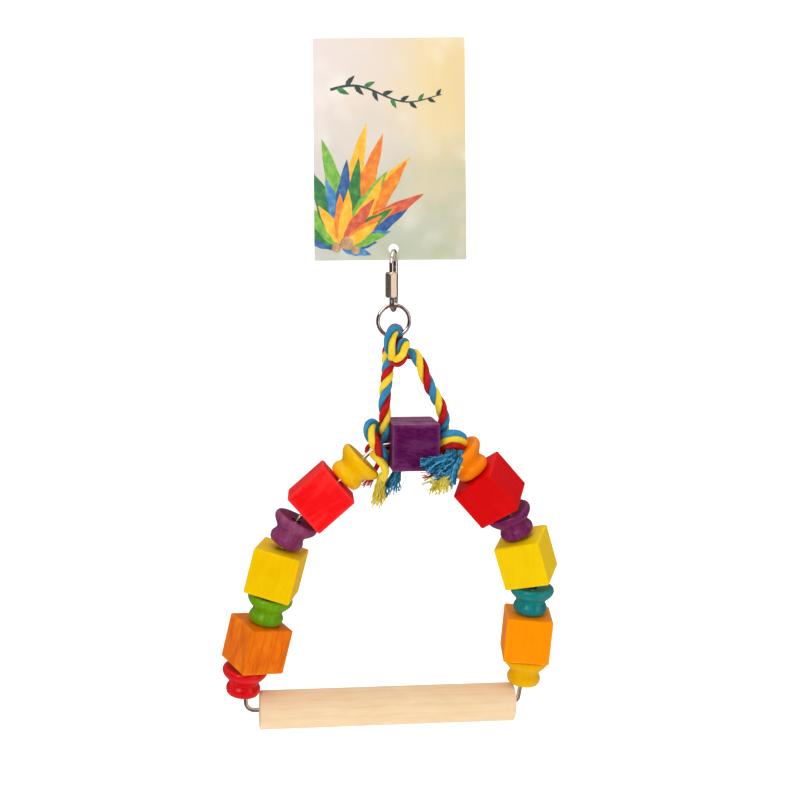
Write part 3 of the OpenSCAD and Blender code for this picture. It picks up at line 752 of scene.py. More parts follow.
faces = [(i * m + k, i * m + (k + 1) % m, ((i + 1) % n) * m + (k + 1) % m, ((i + 1) % n) * m + k) for i in range(n) for k in range(m)]
b.add(np.concatenate(V), faces, [[(0, 0)] * 4] * len(faces), 0)
nut = b.make("hex_nut", [nut_m], matrix=yaw, sharp=22)
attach(nut, "nut")
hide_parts("link_nut")

# welded ring: the seam is a small brassy upset on the wire
rz = lb - br + lr + 1 + 0.12 - 8.4
a = np.linspace(0, 2 * math.pi, 181)
P = np.stack([8.4 * np.sin(a), np.zeros(181), rz + 8.4 * np.cos(a)], 1)
seam = np.exp(-(((np.degrees(a) - 15) / 3.2) ** 2))
r = 1.0 + 0.14 * seam + 0.05 * np.sin(a * 97) * seam
T = np.stack([np.cos(a), np.zeros(181), -np.sin(a)], 1)
N = np.stack([np.sin(a), np.zeros(181), np.cos(a)], 1)
b = Build()
tube(b, P, r, 24, N=N, B=np.cross(T, N), cap=False, at=seam)
mm = bpy.data.materials["ring_nickel"]
t = mm.node_tree
bs = next(x for x in t.nodes if x.type == "BSDF_PRINCIPLED")
old = bs.inputs["Base Color"].links[0].from_socket
an = t.nodes.new("ShaderNodeAttribute")
an.attribute_name = "seam"
mx = t.nodes.new("ShaderNodeMix")
mx.data_type = "RGBA"
mx.inputs[7].default_value = lin(190, 150, 84)
t.links.new(an.outputs[2], mx.inputs[0])
t.links.new(old, mx.inputs[6])
t.links.new(mx.outputs[2], bs.inputs["Base Color"])
ring = b.make("welded_ring", [ring_m], attribute="seam")
weld(ring, 0.000002)
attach(ring, "ring")
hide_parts("hanging_ring")

# ------------------------------------------------------------------- rope ---
BLUE, RED, YEL = 0, 1, 2
cot = [
    cotton("cotton_blue", (46, 138, 182), (18, 82, 124), (92, 178, 224), 0.4),
    cotton("cotton_red", (196, 10, 20), (128, 0, 10), (226, 62, 58), 0.7),
    cotton("cotton_yellow", (250, 216, 36), (222, 172, 10), (255, 240, 116), 0.92),
]
K = {"B": BLUE, "R": RED, "Y": YEL}
# centre line, as places in the photograph's frame with a depth in mm; it runs from the
# left knot up the left leg, through the hitch on the ring and down the right leg
LINE = [
    # px, py, depth, facing colour (and degrees past it) or None, flat (0 twisted .. 1 side by side)
    (379.5, 461, 2.5, None, 0),
    (381, 447, 6.0, None, 0),
    (377, 430, 6.0, None, 0),
    (370.8, 424, 1.6, "B35", 0),
    (369.2, 430.5, -3.0, None, 0),
    (371.6, 437.5, -5.2, "Y", 0),
    (377.2, 446.5, -5.4, "R", 0),
    (383.4, 455, -2.0, "B", 0),
    (386.5, 453, 3.6, None, 0),
    (387.0, 442, 4.4, None, 0),
    (386.0, 432, 1.6, "B", 0),
    (385.3, 423, 0.3, "Y", 0),
    (384.6, 409, 0, "R", 0),
    (385.0, 393, 0, "B", 0),
    (386.6, 381, 0.2, "Y", 0),
    (387.6, 371, 0.8, "R", 0),
    (388.2, 362.5, 1.8, "B", 0),
    (388.0, 353, 3.6, "Y", 0),
    (392.0, 344, 5.2, None, 0),
    (397.0, 335, 4.4, None, 0),
    (396.8, 330.1, 0.6, None, 0),
    (392.6, 331, -3.4, "B25", 0),
    (389.8, 341, -5.6, None, 0),
    (391.5, 351.5, -5.8, "Y", 0),
    (394.5, 356, -2.0, None, 0),
    (399.5, 354.5, 2.5, None, 0),
    (402.4, 349.7, 4.4, None, 0),
    (404.4, 344.6, 1.0, None, 0),
    (403.4, 345.0, -3.4, "B58", 0),
    (402.8, 350.0, -6.5, None, 0),
    (402.0, 355.0, -7.0, "Y0", 0),
    (398.8, 360.4, -5.9, "Y55", 0),
    (395.0, 359.5, -0.5, None, 0),
    (400.0, 356.5, 5.0, None, 0),
    (408.0, 353, 3.0, None, 0),
    (413.0, 354.2, 1.6, "B", 0),
    (419.0, 361, 0.4, "Y", 0),
    (426.8, 380, 0, "R", 0),
    (432.0, 390.5, 0, "B", 0),
    (438.0, 401, 0, "Y", 0),
    (443.2, 415, 0.2, "R", 0),
    (443.4, 427, 1.4, "B", 0.0),
    (446.0, 437, 4.6, None, 0.3),
    (457.0, 440, 5.2, None, 0.9),
    (463.6, 443.5, 0.8, None, 1),
    (460.3, 440.5, -4.2, None, 1),
    (452.0, 439.0, -6.4, None, 1),
    (444.5, 441.5, -5.0, None, 1),
    (441.2, 446, -1.0, None, 0.9),
    (445.5, 449, 2.6, None, 0.5),
    (451.0, 453, 0.8, None, 0.3),
]
C = np.array([at_px(a, b_, d) for a, b_, d, _, _ in LINE])
P, S, TC = spline(C, 0.45)
T, N, B = transport(P, (0, -1.0, 0))
PITCH = 17.0
anchors = []
for i, row in enumerate(LINE):
    if row[3] is None:
        continue
    j = int(np.argmin(np.abs(TC - i)))
    to_cam = unit(CAM - P[j])
    psi = math.atan2(to_cam @ B[j], to_cam @ N[j])
    phi = psi - 2 * math.pi * K[row[3][0]] / 3 + rad(float(row[3][1:] or 0))
    if anchors:
        s0, p0 = anchors[-1]
        want = p0 + 2 * math.pi * (S[j] - s0) / PITCH
        phi += 2 * math.pi * round((want - phi) / (2 * math.pi))
        if phi - p0 < 2 * math.pi * (S[j] - s0) / 60:
            phi += 2 * math.pi
    anchors.append((S[j], phi))
s_a, p_a = np.array(anchors).T
PHI = np.interp(S, s_a, p_a)
for part, ref in ((S < s_a[0], 0), (S > s_a[-1], -1)):
    PHI[part] = p_a[ref] + 2 * math.pi * (S[part] - s_a[ref]) / PITCH
ker = np.exp(-np.linspace(-2, 2, 13) ** 2)
pad = np.pad(PHI, 6, mode="reflect", reflect_type="odd")
PHI = np.convolve(pad, ker / ker.sum(), mode="valid")
FLAT = np.interp(TC, np.arange(len(LINE)), [r_[4] for r_ in LINE])
rope = Build()
OFF, SR = 1.62, 1.74
ends = {}
for kk, name in ((BLUE, "B"), (RED, "R"), (YEL, "Y")):
    a = PHI + 2 * math.pi * kk / 3
    helix = OFF * (np.cos(a)[:, None] * N + np.sin(a)[:, None] * B)
    side = {BLUE: 1.0, YEL: 0.0, RED: -1.0}[kk]
    out = unit(P - at_px(451.5, 443, 0))
    flat = np.array([0, 0, 3.35 * side]) + out * (0.55 if kk == YEL else 0.0)
    w = (FLAT * FLAT * (3 - 2 * FLAT))[:, None]
    Q = P + helix * (1 - w) + flat * w
    # the strand presses flat against its neighbours: longer round the rope than through it
    Tq, Nq, Bq = transport(Q)
    toward = unit(Q - P + 1e-6)
    Nr = unit(toward - Tq * np.sum(toward * Tq, 1, keepdims=True))
    Nr = unit(Nr * (1 - w) + unit(out - Tq * np.sum(out * Tq, 1, keepdims=True)) * w)
    Br = np.cross(Tq, Nr)
    wob = 1 + 0.025 * np.sin(S * 1.1 + kk * 2) + 0.02 * np.sin(S * 2.7 + kk)
    # painted shade: the strands are darker in the grooves between them
    turn = 2 * np.pi * np.arange(20) / 20
    groove = 0.8 * np.clip((0.6 - np.cos(turn)) / 0.5, 0, 1) * (1 - 0.5 * w)
    tube(rope, Q, SR * wob, 20, mat=kk, N=Nr, B=Br, flat=1.12 + 0.02 * np.sin(S * 0.7 + kk), at=groove)
    ends[name] = (Q[0], -Tq[0], Q[-1], Tq[-1])

rng = np.random.default_rng(7)


def strand(pts, mat, r0=1.7, r1=1.5):
    """One unlaid strand that leaves a knot."""
    Q, s, _ = spline(pts, 0.5)
    f = s / s[-1]
    tube(rope, Q, r0 + (r1 - r0) * f + 0.04 * np.sin(s * 2.1), 18, mat=mat)
    return Q


def yarn(pts, mat, r=0.27, seed_jit=0.12, m=5, shade=None):
    Q, s, _ = spline(pts, 0.95)
    n = len(Q)
    k = np.arange(n)
    ph = rng.uniform(0, 6.28, 3)
    amp = seed_jit * np.clip(s / 4, 0, 1)
    Q = Q + np.stack([amp * np.sin(s * w_ + p_) for w_, p_ in zip((1.3, 1.7, 1.1), ph)], 1)
    tube(rope, Q, r * (1 + 0.12 * np.sin(s * 3 + ph[0])), m, mat=mat, u0=rng.uniform(0, 1), at=np.full(n, rng.uniform(-1, 1) if shade is None else shade))


def tuft(mat, line, n, r0, r1, fan=(0, 0, 0), fan_at=2.0, yr=0.27, vary=0.25, jit=0.15, seed=0, painted_light=0.0):
    """Yarns that leave a strand's end together and spread out."""
    g = np.random.default_rng(seed)
    Q, s, _ = spline(line, 0.8)
    Tt, Nt, Bt = transport(Q)
    f = s / s[-1]
    fan = np.asarray(fan, float)
    clump = np.random.default_rng(seed + 100).uniform(-1, 1, (7, 7))
    for i in range(n):
        rho = math.sqrt((i + 0.5) / n)
        th = i * 2.39996 + g.uniform(-0.3, 0.3)
        ca, sa = rho * math.cos(th), rho * math.sin(th)
        stop = 1 - g.uniform(0, vary)
        keep = f <= stop
        keep[:4] = True
        q, ff = Q[keep], f[keep]
        R_ = r0 + (r1 - r0) * ff**1.3
        off = Nt[keep] * (ca * R_)[:, None] + Bt[keep] * (sa * R_)[:, None]
        side = (i / max(1, n - 1) - 0.5) * 2 + g.uniform(-0.25, 0.25)
        off = off + (side * ff**fan_at)[:, None] * fan
        drift = g.normal(0, 0.5, 3)
        q = q + off + (ff**2)[:, None] * drift
        # painted_light, when below zero, paints the whole tuft paler against the shade it sits in; clump gives patches
        # of lighter and darker yarns
        yarn(q[:: max(1, len(q) // 6)].tolist() + [q[-1].tolist()], mat, yr * g.uniform(0.85, 1.15), jit, shade=painted_light + 0.8 * clump[int(3 + 3 * ca), int(3 + 3 * sa)] + 0.2 * math.sin(i * 1.7))


# left knot: the three strands part under the wire
strand([at_px(372.5, 452, 1.0), at_px(374.5, 456, -3.5), at_px(380, 461, -5.5), at_px(385, 468, -6.0), at_px(384.2, 475, -6.5), at_px(381.4, 480.5, -7.0)], YEL, 2.0, 2.3)
tuft(YEL, [at_px(383.4, 474, -6.6), at_px(380.4, 482, -7.0), at_px(378.2, 491, -7.4), at_px(377.2, 507.5, -7.2)], 62, 2.1, 3.9, fan=(3.4, 0.5, 0.4), fan_at=1.7, yr=0.29, vary=0.36, jit=0.4, seed=1, painted_light=-0.5)
strand([at_px(381, 456, 4.0), at_px(388, 460, 5.5), at_px(394.5, 464, 6.0), at_px(397, 469, 4.0)], BLUE, 1.8, 1.7)
tuft(BLUE, [at_px(396.6, 466, 4.4), at_px(395.8, 473, 2.4), at_px(391.6, 482, 1.2), at_px(387.6, 497, 0.6)], 64, 2.0, 4.6, fan=(5.6, 0.6, 1.6), fan_at=1.15, yr=0.33, vary=0.36, jit=0.4, seed=2, painted_light=-0.55)
strand([at_px(381, 455, 3.8), at_px(378.5, 463, 5.4), at_px(373.6, 472.5, 6.0)], RED, 1.6, 1.3)
tuft(RED, [at_px(375, 470, 6.0), at_px(370.4, 477.5, 6.6), at_px(363.2, 488, 7.2)], 30, 1.1, 2.3, fan=(-4.2, 0, 1.2), fan_at=1.2, yr=0.24, vary=0.36, seed=3)
strand([at_px(372.5, 444, 3.4), at_px(367.8, 447.5, 4.2), at_px(366.4, 452.5, 3.6)], RED, 1.5, 1.1)
# right knot: the blue strand is teased out into a sweep of yarns
g4 = np.random.default_rng(44)
lock = np.random.default_rng(45).uniform(-1, 1, 40)
# in both sweeps the shade value alternates from yarn to yarn: painted highlight on some yarns, painted shade on others
for i in range(46):
    u = (i + 0.5) / 46
    k4 = g4.normal(0, 1, 9)
    a4 = (446.0 + 17.0 * u + 0.6 * k4[0], 449.5 + 1.4 * u, -6.2 - 0.5 * abs(k4[1]))
    v4 = min(1.0, max(0.0, u + 0.07 * k4[2]))
    e4 = (419.6 + 17.5 * v4**1.2 + 0.8 * k4[3], 460.5 + 20 * v4 + 0.9 * k4[4], -17.2 + 0.9 * k4[5])
    c4 = (a4[0] - 3.0 - 0.6 * u, a4[1] + 5.2 + 1.8 * u, -10.4 + 0.8 * k4[6])
    d4 = (a4[0] + (e4[0] - a4[0]) * 0.62 + 0.7 * k4[7], a4[1] + (e4[1] - a4[1]) * 0.66 + 1.0 * k4[8], -14.4 + 0.7 * k4[5])
    yarn([at_px(*a4), at_px(*c4), at_px(*d4), at_px(*e4)], BLUE, 0.39 * g4.uniform(0.85, 1.15), 0.3, shade=(-0.75, 0.95, -0.2, 0.5)[i % 4] + 0.3 * lock[int(u * 19)])
for i in range(28):
    u = (i + 0.5) / 28
    k4 = g4.normal(0, 1, 8)
    a4 = (453.0 + 9.6 * u + 0.4 * k4[0], 450.5, -6.4 - 0.4 * abs(k4[1]))
    e4 = (446.6 + 10.4 * u + 0.5 * k4[2], 486.5 - 5.5 * abs(u - 0.45) * 2 + 1.4 * k4[3], -15.6 + 0.5 * k4[4])
    c4 = (a4[0] - 0.9, 459.5 + 0.8 * k4[5], -11.6 + 0.6 * k4[6])
    d4 = (e4[0] + 1.2 * (0.5 - u) + 0.5 * k4[7], 473.5, -14.4 + 0.5 * k4[4])
    yarn([at_px(*a4), at_px(*c4), at_px(*d4), at_px(*e4)], BLUE, 0.38 * g4.uniform(0.85, 1.15), 0.22, shade=(-0.75, 0.95, -0.2, 0.5)[i % 4] + 0.3 * lock[20 + int(u * 12)])
strand([at_px(453, 452, -1.0), at_px(457.5, 457, -4.6), at_px(458.2, 465, -8.6), at_px(455.5, 472.5, -11.6), at_px(449, 477, -12.6)], YEL, 1.8, 1.7)
tuft(YEL, [at_px(451.5, 475.5, -12.4), at_px(446, 479, -14.2), at_px(440.5, 485.5, -15.6), at_px(437, 495.5, -16.2)], 62, 1.7, 3.7, fan=(5.4, 0, -0.4), fan_at=1.25, yr=0.29, vary=0.34, jit=0.5, seed=6, painted_light=-0.6)
tuft(YEL, [at_px(449, 475.5, -12.8), at_px(441, 479, -15.4), at_px(432, 481.5, -17.0), at_px(421.5, 482.5, -18.0)], 16, 1.0, 2.2, fan=(0, 0, 2.0), fan_at=1.3, yr=0.22, vary=0.45, jit=0.5, seed=16)
strand([at_px(450, 452, 1.0), at_px(449.5, 460, -3.0), at_px(444, 467, -8), at_px(436, 472.5, -12.5)], RED, 1.5, 1.2)
tuft(RED, [at_px(437, 471.8, -12.2), at_px(429, 475.8, -14.6), at_px(420.5, 478, -16.0)], 16, 1.0, 1.8, fan=(0.4, 0, 1.6), fan_at=1.3, yr=0.23, vary=0.35, seed=8)
# single stray yarns
yarn([at_px(397, 471, 3.2), at_px(401.5, 470, 2.0), at_px(405.2, 475, 1.2), at_px(404.2, 482, 1.2), at_px(401, 487.5, 1.6)], BLUE, 0.13, 0.05)
yarn([at_px(441, 478, -15), at_px(433, 476.5, -17.4), at_px(424, 482, -18.6), at_px(419.5, 482.5, -19)], YEL, 0.12, 0.1)
yarn([at_px(447, 478, -15), at_px(440, 474.5, -18), at_px(431, 480, -19), at_px(427, 484, -19.5)], BLUE, 0.12, 0.1)

# fluff: short fibres that stand off the strands
base_v = np.concatenate(rope.v)
base_m = np.zeros(len(base_v), int)
for f, mi in zip(rope.f, rope.mi):
    base_m[list(f)] = mi
cent_n = len(base_v)
norm = np.zeros_like(base_v)
F4 = np.array([f[:3] for f in rope.f])
fn = np.cross(base_v[F4[:, 1]] - base_v[F4[:, 0]], base_v[F4[:, 2]] - base_v[F4[:, 0]])
for c_ in range(3):
    np.add.at(norm, F4[:, c_], fn)
norm = unit(norm)
pick = rng.choice(cent_n, 3800, replace=False)
for i in pick:
    o, n_ = base_v[i], norm[i]
    g = rng.normal(0, 1, 3)
    ln = rng.uniform(0.25, 0.85)
    d1 = unit(n_ + 0.9 * g * 0.5)
    p1 = o + d1 * ln * 0.5
    p2 = p1 + unit(d1 + 0.8 * rng.normal(0, 1, 3)) * ln * 0.5
    w_ = 0.022
    s1 = unit(np.cross(d1, g))
    s2 = np.cross(d1, s1)
    tri = [o + s1 * w_, o - 0.5 * s1 * w_ + 0.87 * s2 * w_, o - 0.5 * s1 * w_ - 0.87 * s2 * w_]
    tri2 = [p1 + (q_ - o) * 0.8 for q_ in tri]
    V = tri + tri2 + [p2]
    rope.add(V, [(0, 1, 4, 3), (1, 2, 5, 4), (2, 0, 3, 5), (3, 4, 6), (4, 5, 6), (5, 3, 6)], [[(0, 0)] * 4] * 3 + [[(0, 0)] * 3] * 3, int(base_m[i]))
rope_ob = rope.make("cotton_rope", cot, attribute="shade")

# soft cotton gives way: no part of it lies inside the wood beside it
bpy.context.view_layer.update()
to_world, to_rope = rope_ob.matrix_world.copy(), rope_ob.matrix_world.inverted()
for name in ("block_purple_middle", "turned_spool_orange_right", "turned_spool_yellow_left"):
    wood = bpy.data.objects[name]
    shell = BVHTree.FromPolygons([wood.matrix_world @ v.co for v in wood.data.vertices], [tuple(p.vertices) for p in wood.data.polygons])
    for v in rope_ob.data.vertices:
        p = to_world @ v.co
        hit, face_n, face_i, dist_ = shell.find_nearest(p, 4.0 * MM)
        if hit is not None and (p - hit).dot(face_n) < 0.04 * MM:
            v.co = to_rope @ (hit + face_n * 0.05 * MM)
rope_ob.data.update()
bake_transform(rope_ob)
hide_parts(*[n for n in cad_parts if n.startswith("rope_")])

# ------------------------------------------------------------ header card ---
cw, ch, ct = 79.3, 116.0, 0.5
card_m = Matrix.Translation((0, 0, 1.25 * MM)) @ Matrix.Rotation(rad(-9), 4, "Z") @ Matrix.Rotation(rad(-13), 4, "X") @ Matrix.Rotation(rad(-0.5), 4, "Y") @ Matrix.Translation((0, 0, (2.6 - 1.25 - 0.08) * MM))
X0, X1, Z0, Z1 = 38 - cw, 38.0, -5.8, ch - 5.8

m = Mat("card_front_print")
q = m.mapping(m.coord(), scale=(1000, 1000, 1000))
sp = m.t.nodes.new("ShaderNodeSeparateXYZ")
m.t.links.new(q, sp.inputs[0])
gx = m.grey(sp.outputs[0], X0, X1)
gz = m.grey(sp.outputs[2], Z0, Z1)
soft = m.noise(q, 0.028, 2, 0.45)
gx2 = m.math("ADD", gx, m.math("MULTIPLY", m.math("SUBTRACT", soft, 0.5), 0.7), clamp=True)
top_c = m.ramp(gx2, [(0.0, lin(231, 218, 213)), (0.45, lin(231, 215, 199)), (0.8, lin(237, 215, 166)), (1.0, lin(235, 210, 154))])
low_c = m.ramp(gx2, [(0.0, lin(200, 199, 192)), (0.5, lin(192, 196, 174)), (1.0, lin(198, 197, 174))])
gz2 = m.math("ADD", gz, m.math("MULTIPLY", m.math("SUBTRACT", m.noise(q, 0.04, 2, 0.5), 0.5), 0.6), clamp=True)
col = m.mix(m.grey(gz2, 0.12, 0.72), low_c, top_c)
bok = m.nd("ShaderNodeTexVoronoi", ins={"Vector": m.nd("ShaderNodeVectorMath", ins={0: q, 1: m.noise(q, 0.12, 2, 0.5, color=True)}, operation="ADD"), "Scale": 0.06})
col = m.mix(m.math("MULTIPLY", m.grey(bok, 0.62, 0.16, 0, 0.42), m.grey(m.noise(q, 0.05, 1, 0.4), 0.45, 0.65)), col, lin(250, 246, 236))
gr = m.noise(m.mapping(q, loc=(40, 0, 13)), 0.05, 3, 0.55)
col = m.mix(m.math("MULTIPLY", m.grey(gr, 0.52, 0.75, 0, 0.55), m.grey(gz, 0.55, 0.1)), col, lin(176, 188, 138))
fibre = m.noise(q, 7.0, 4, 0.6)
m.set(Base_Color=col, Roughness=m.grey(fibre, 0.3, 0.7, 0.34, 0.46), Coat_Weight=0.12, Coat_Roughness=0.3)
m.set(Normal=m.bump(m.math("ADD", fibre, m.math("MULTIPLY", m.noise(q, 0.5, 2, 0.5), 1.5)), 0.000012, 0.5))
print_front = m.m

m = Mat("card_back_board")
q = m.mapping(m.coord(), scale=(1000, 1000, 1000))
fibre = m.noise(q, 4.0, 5, 0.65)
long_f = m.noise(m.mapping(q, scale=(0.5, 1, 2.4)), 3.0, 4, 0.6)
col = m.mix(m.grey(fibre, 0.35, 0.7), lin(222, 218, 208), lin(240, 237, 230))
col = m.mix(m.grey(long_f, 0.6, 0.75, 0, 0.35), col, lin(196, 190, 176))
m.set(Base_Color=col, Roughness=0.72)
m.set(Normal=m.bump(m.math("ADD", fibre, long_f), 0.00002, 0.6))
board_back = m.m


def ink(name, base, dark, light, ang=0.0):
    """Printed ink with painterly streaks along the leaf; UV is (across, along)."""
    m = Mat(name)
    uv = m.coord("UV")
    st = m.noise(m.mapping(uv, scale=(9, 1.3, 1)), 1.0, 4, 0.6)
    cl = m.noise(m.mapping(m.coord(), scale=(1000, 1000, 1000)), 0.25, 3, 0.5)
    col = m.mix(m.grey(st, 0.35, 0.68), lin(*dark), lin(*base))
    col = m.mix(m.grey(cl, 0.45, 0.72, 0, 0.6), col, lin(*light))
    m.set(Base_Color=col, Roughness=0.38, Coat_Weight=0.12, Coat_Roughness=0.3)
    return m.m


inks = {
    "orange": ink("ink_orange", (246, 140, 22), (228, 98, 16), (255, 182, 40)),
    "yellow": ink("ink_yellow", (252, 200, 28), (240, 158, 18), (255, 226, 84)),
    "red": ink("ink_coral", (222, 92, 58), (190, 58, 44), (244, 134, 84)),
    "green": ink("ink_green", (44, 138, 62), (20, 92, 52), (92, 176, 72)),
    "lime": ink("ink_lime", (132, 192, 62), (84, 158, 48), (186, 218, 96)),
    "blue": ink("ink_blue", (38, 92, 162), (26, 62, 126), (64, 138, 194)),
    "sky": ink("ink_sky", (64, 146, 196), (36, 100, 168), (120, 188, 214)),
    "dark": ink("ink_dark_green", (44, 66, 62), (30, 48, 46), (66, 92, 82)),
    "tan": ink("ink_tan", (206, 160, 112), (170, 120, 78), (230, 196, 150)),
}
ink_keys = list(inks)

# board: a rectangle with a punched hole; front, back and edges are separate faces
b = Build()
seg = 64
hole = [(2.6 * math.cos(a), 2.6 * math.sin(a)) for a in np.linspace(0, 2 * math.pi, seg, endpoint=False)]


def square_ring(x0, x1, z0, z1, n):
    """n points round a rectangle, in the hole's angular order."""
    pts = []
    for k in range(n):
        a = 2 * math.pi * k / n
        dx, dz = math.cos(a), math.sin(a)
        t_ = min((x1 if dx > 0 else x0) / dx if abs(dx) > 1e-9 else 1e9, (z1 if dz > 0 else z0) / dz if abs(dz) > 1e-9 else 1e9)
        pts.append((dx * t_, dz * t_))
    return pts


near = square_ring(-5.0, 5.0, -5.0, 5.0, seg)
for y, mat, flip in ((-ct / 2, 0, False), (ct / 2, 1, True)):
    V = [(x, y, z) for x, z in hole] + [(x, y, z) for x, z in near]
    faces = [(k, (k + 1) % seg, seg + (k + 1) % seg, seg + k) for k in range(seg)]
    # the rest of the board around that small square, in strips
    xs = [X0, -5.0, 5.0, X1]
    zs = [Z0, -5.0, 5.0] + list(np.linspace(12, Z1, 20))
    idx = {}
    for i, x in enumerate(xs):
        for j_, z in enumerate(zs):
            idx[i, j_] = len(V)
            V.append((x, y, z))
    for i in range(3):
        for j_ in range(len(zs) - 1):
            if i == 1 and j_ == 1:
                continue
            faces.append((idx[i, j_], idx[i, j_ + 1], idx[i + 1, j_ + 1], idx[i + 1, j_]))
    faces = [f[::-1] if flip == (n_ < 0) else f for n_, f in ((0, f) for f in faces)]
    b.add(V, faces, [[(0, 0)] * len(f) for f in faces], mat)
bd = [(X0, Z0), (X1, Z0), (X1, Z1), (X0, Z1)]
for k in range(4):
    (xa, za), (xb, zb) = bd[k], bd[(k + 1) % 4]
    b.add([(xa, -ct / 2, za), (xb, -ct / 2, zb), (xb, ct / 2, zb), (xa, ct / 2, za)], [(0, 1, 2, 3)], [[(0, 0)] * 4], 1)
V = [(x, -ct / 2, z) for x, z in hole] + [(x, ct / 2, z) for x, z in hole]
b.add(V, [(k, seg + k, seg + (k + 1) % seg, (k + 1) % seg) for k in range(seg)], [[(0, 0)] * 4] * seg, 1)
card = b.make("header_board", [print_front, board_back], smooth=False, matrix=card_m)
weld(card, 0.000002)
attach(card, "card")
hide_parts("header_card")

# printed motif: a loose spray of long leaves, with a thin trailing stem above
art = Build()
layer_n = [0]
art_rng = np.random.default_rng(21)


def leaf(x, z, ang, ln, wd, colour, bend=0.0, tip=1.0):
    """A pointed leaf from its foot at (x, z), as a flat patch just in front of the board, cut where the board ends."""
    layer_n[0] += 1
    y = -ct / 2 - 0.012 - 0.0022 * layer_n[0]
    n = 22
    V, uvs_v = [], []
    for i in range(n + 1):
        f = i / n
        a = rad(ang) + bend * f
        if i == 0:
            cx, cz = x, z
        else:
            cx += ln / n * math.cos(a)
            cz += ln / n * math.sin(a)
        w_ = wd * (math.sin(math.pi * f**0.75) ** 0.8) * (1 - 0.25 * f) * tip
        w_ *= 1 + 0.07 * math.sin(f * 21 + ang)
        for s_ in (-1, -0.33, 0.33, 1):
            px_, pz_ = cx - math.sin(a) * w_ * s_ / 2, cz + math.cos(a) * w_ * s_ / 2
            V.append((min(max(px_, X0 + 0.02), X1 - 0.02), y, min(max(pz_, Z0 + 0.02), Z1 - 0.02)))
            uvs_v.append((s_, f * ln / 8 + ang))
    faces, uvs = [], []
    for i in range(n):
        for k in range(3):
            fidx = (i * 4 + k, i * 4 + k + 1, (i + 1) * 4 + k + 1, (i + 1) * 4 + k)
            pts = [V[j_] for j_ in fidx]
            cxm = sum(p_[0] for p_ in pts) / 4
            czm = sum(p_[2] for p_ in pts) / 4
            area = abs((pts[2][0] - pts[0][0]) * (pts[3][2] - pts[1][2]) - (pts[3][0] - pts[1][0]) * (pts[2][2] - pts[0][2]))
            if area < 1e-5 or math.hypot(cxm, czm) < 3.4:
                continue
            faces.append(fidx[::-1])
            uvs.append([uvs_v[j_] for j_ in fidx[::-1]])
    if faces:
        art.add(V, faces, uvs, ink_keys.index(colour))


foot = (X0 + 15, Z0 + 8)
spray = []
for i, (a0, ln, wd, c_) in enumerate([
    (172, 22, 8, "blue"), (148, 26, 9, "green"), (128, 34, 10, "lime"), (112, 47, 12, "green"), (97, 58, 12, "lime"),
    (84, 66, 12, "yellow"), (72, 62, 12, "orange"), (60, 58, 12, "yellow"), (48, 56, 12, "orange"), (37, 50, 11, "red"), (27, 38, 9, "blue"),
    (17, 26, 8, "sky"), (5, 19, 7, "blue"), (-9, 16, 6, "sky"),
    (105, 36, 9, "sky"), (90, 44, 10, "blue"), (78, 48, 10, "green"), (66, 44, 10, "lime"), (54, 42, 9, "yellow"), (42, 38, 9, "orange"), (33, 32, 8, "green"), (22, 24, 7, "lime"),
    (118, 24, 8, "yellow"), (98, 28, 8, "orange"), (80, 30, 8, "yellow"), (62, 28, 8, "red"), (46, 26, 7, "orange"), (30, 22, 6, "yellow"),
]):
    leaf(foot[0] + art_rng.uniform(-1.5, 1.5), foot[1] + art_rng.uniform(-1.5, 1.5), a0, ln, wd, c_, bend=art_rng.uniform(-0.25, 0.25))
for x_, z_, r_ in ((foot[0] + 2, foot[1] + 1, 3.4), (foot[0] - 3.5, foot[1] - 1.5, 2.4), (foot[0] + 6.5, foot[1] - 2.6, 2.2)):
    layer_n[0] += 1
    y = -ct / 2 - 0.012 - 0.0022 * layer_n[0]
    V = [(x_, y, z_)] + [(x_ + r_ * math.cos(a), y, z_ + r_ * math.sin(a)) for a in np.linspace(0, 2 * math.pi, 40, endpoint=False)]
    art.add(V, [(0, 1 + (k + 1) % 40, 1 + k) for k in range(40)], [[(0, 0), (0.3, k / 6), (0.3, k / 6)] for k in range(40)], ink_keys.index("tan"))
# trailing stem with small leaves
stem = np.array([(X0 + 9 + 58 * t_, Z1 - 27 + 3.2 * math.sin(t_ * 7.0) - 5 * t_) for t_ in np.linspace(0, 1, 50)])
layer_n[0] += 1
y = -ct / 2 - 0.012 - 0.0022 * layer_n[0]
d_ = unit(np.gradient(stem, axis=0))
wv = np.interp(np.arange(50), [0, 10, 49], [0.75, 0.6, 0.22])
V = [(p_[0] - s_ * t_[1] * w_, y, p_[1] + s_ * t_[0] * w_) for p_, t_, w_ in zip(stem, d_, wv) for s_ in (-1, 1)]
art.add(V, [(2 * i, 2 * i + 1, 2 * i + 3, 2 * i + 2)[::-1] for i in range(49)], [[(0, i / 9)] * 4 for i in range(49)], ink_keys.index("dark"))
for i in range(3, 49, 4):
    p_, t_ = stem[i], d_[i]
    a_ = math.degrees(math.atan2(t_[1], t_[0]))
    leaf(p_[0], p_[1], a_ + (52 if (i // 4) % 2 else -52), 7.5 - i * 0.07, 3.0 - i * 0.02, "dark" if i % 3 else "green", bend=-0.3 if (i // 4) % 2 else 0.3)
art_ob = art.make("card_print", [inks[k_] for k_ in ink_keys], smooth=False, matrix=card_m)
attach(art_ob, "card")

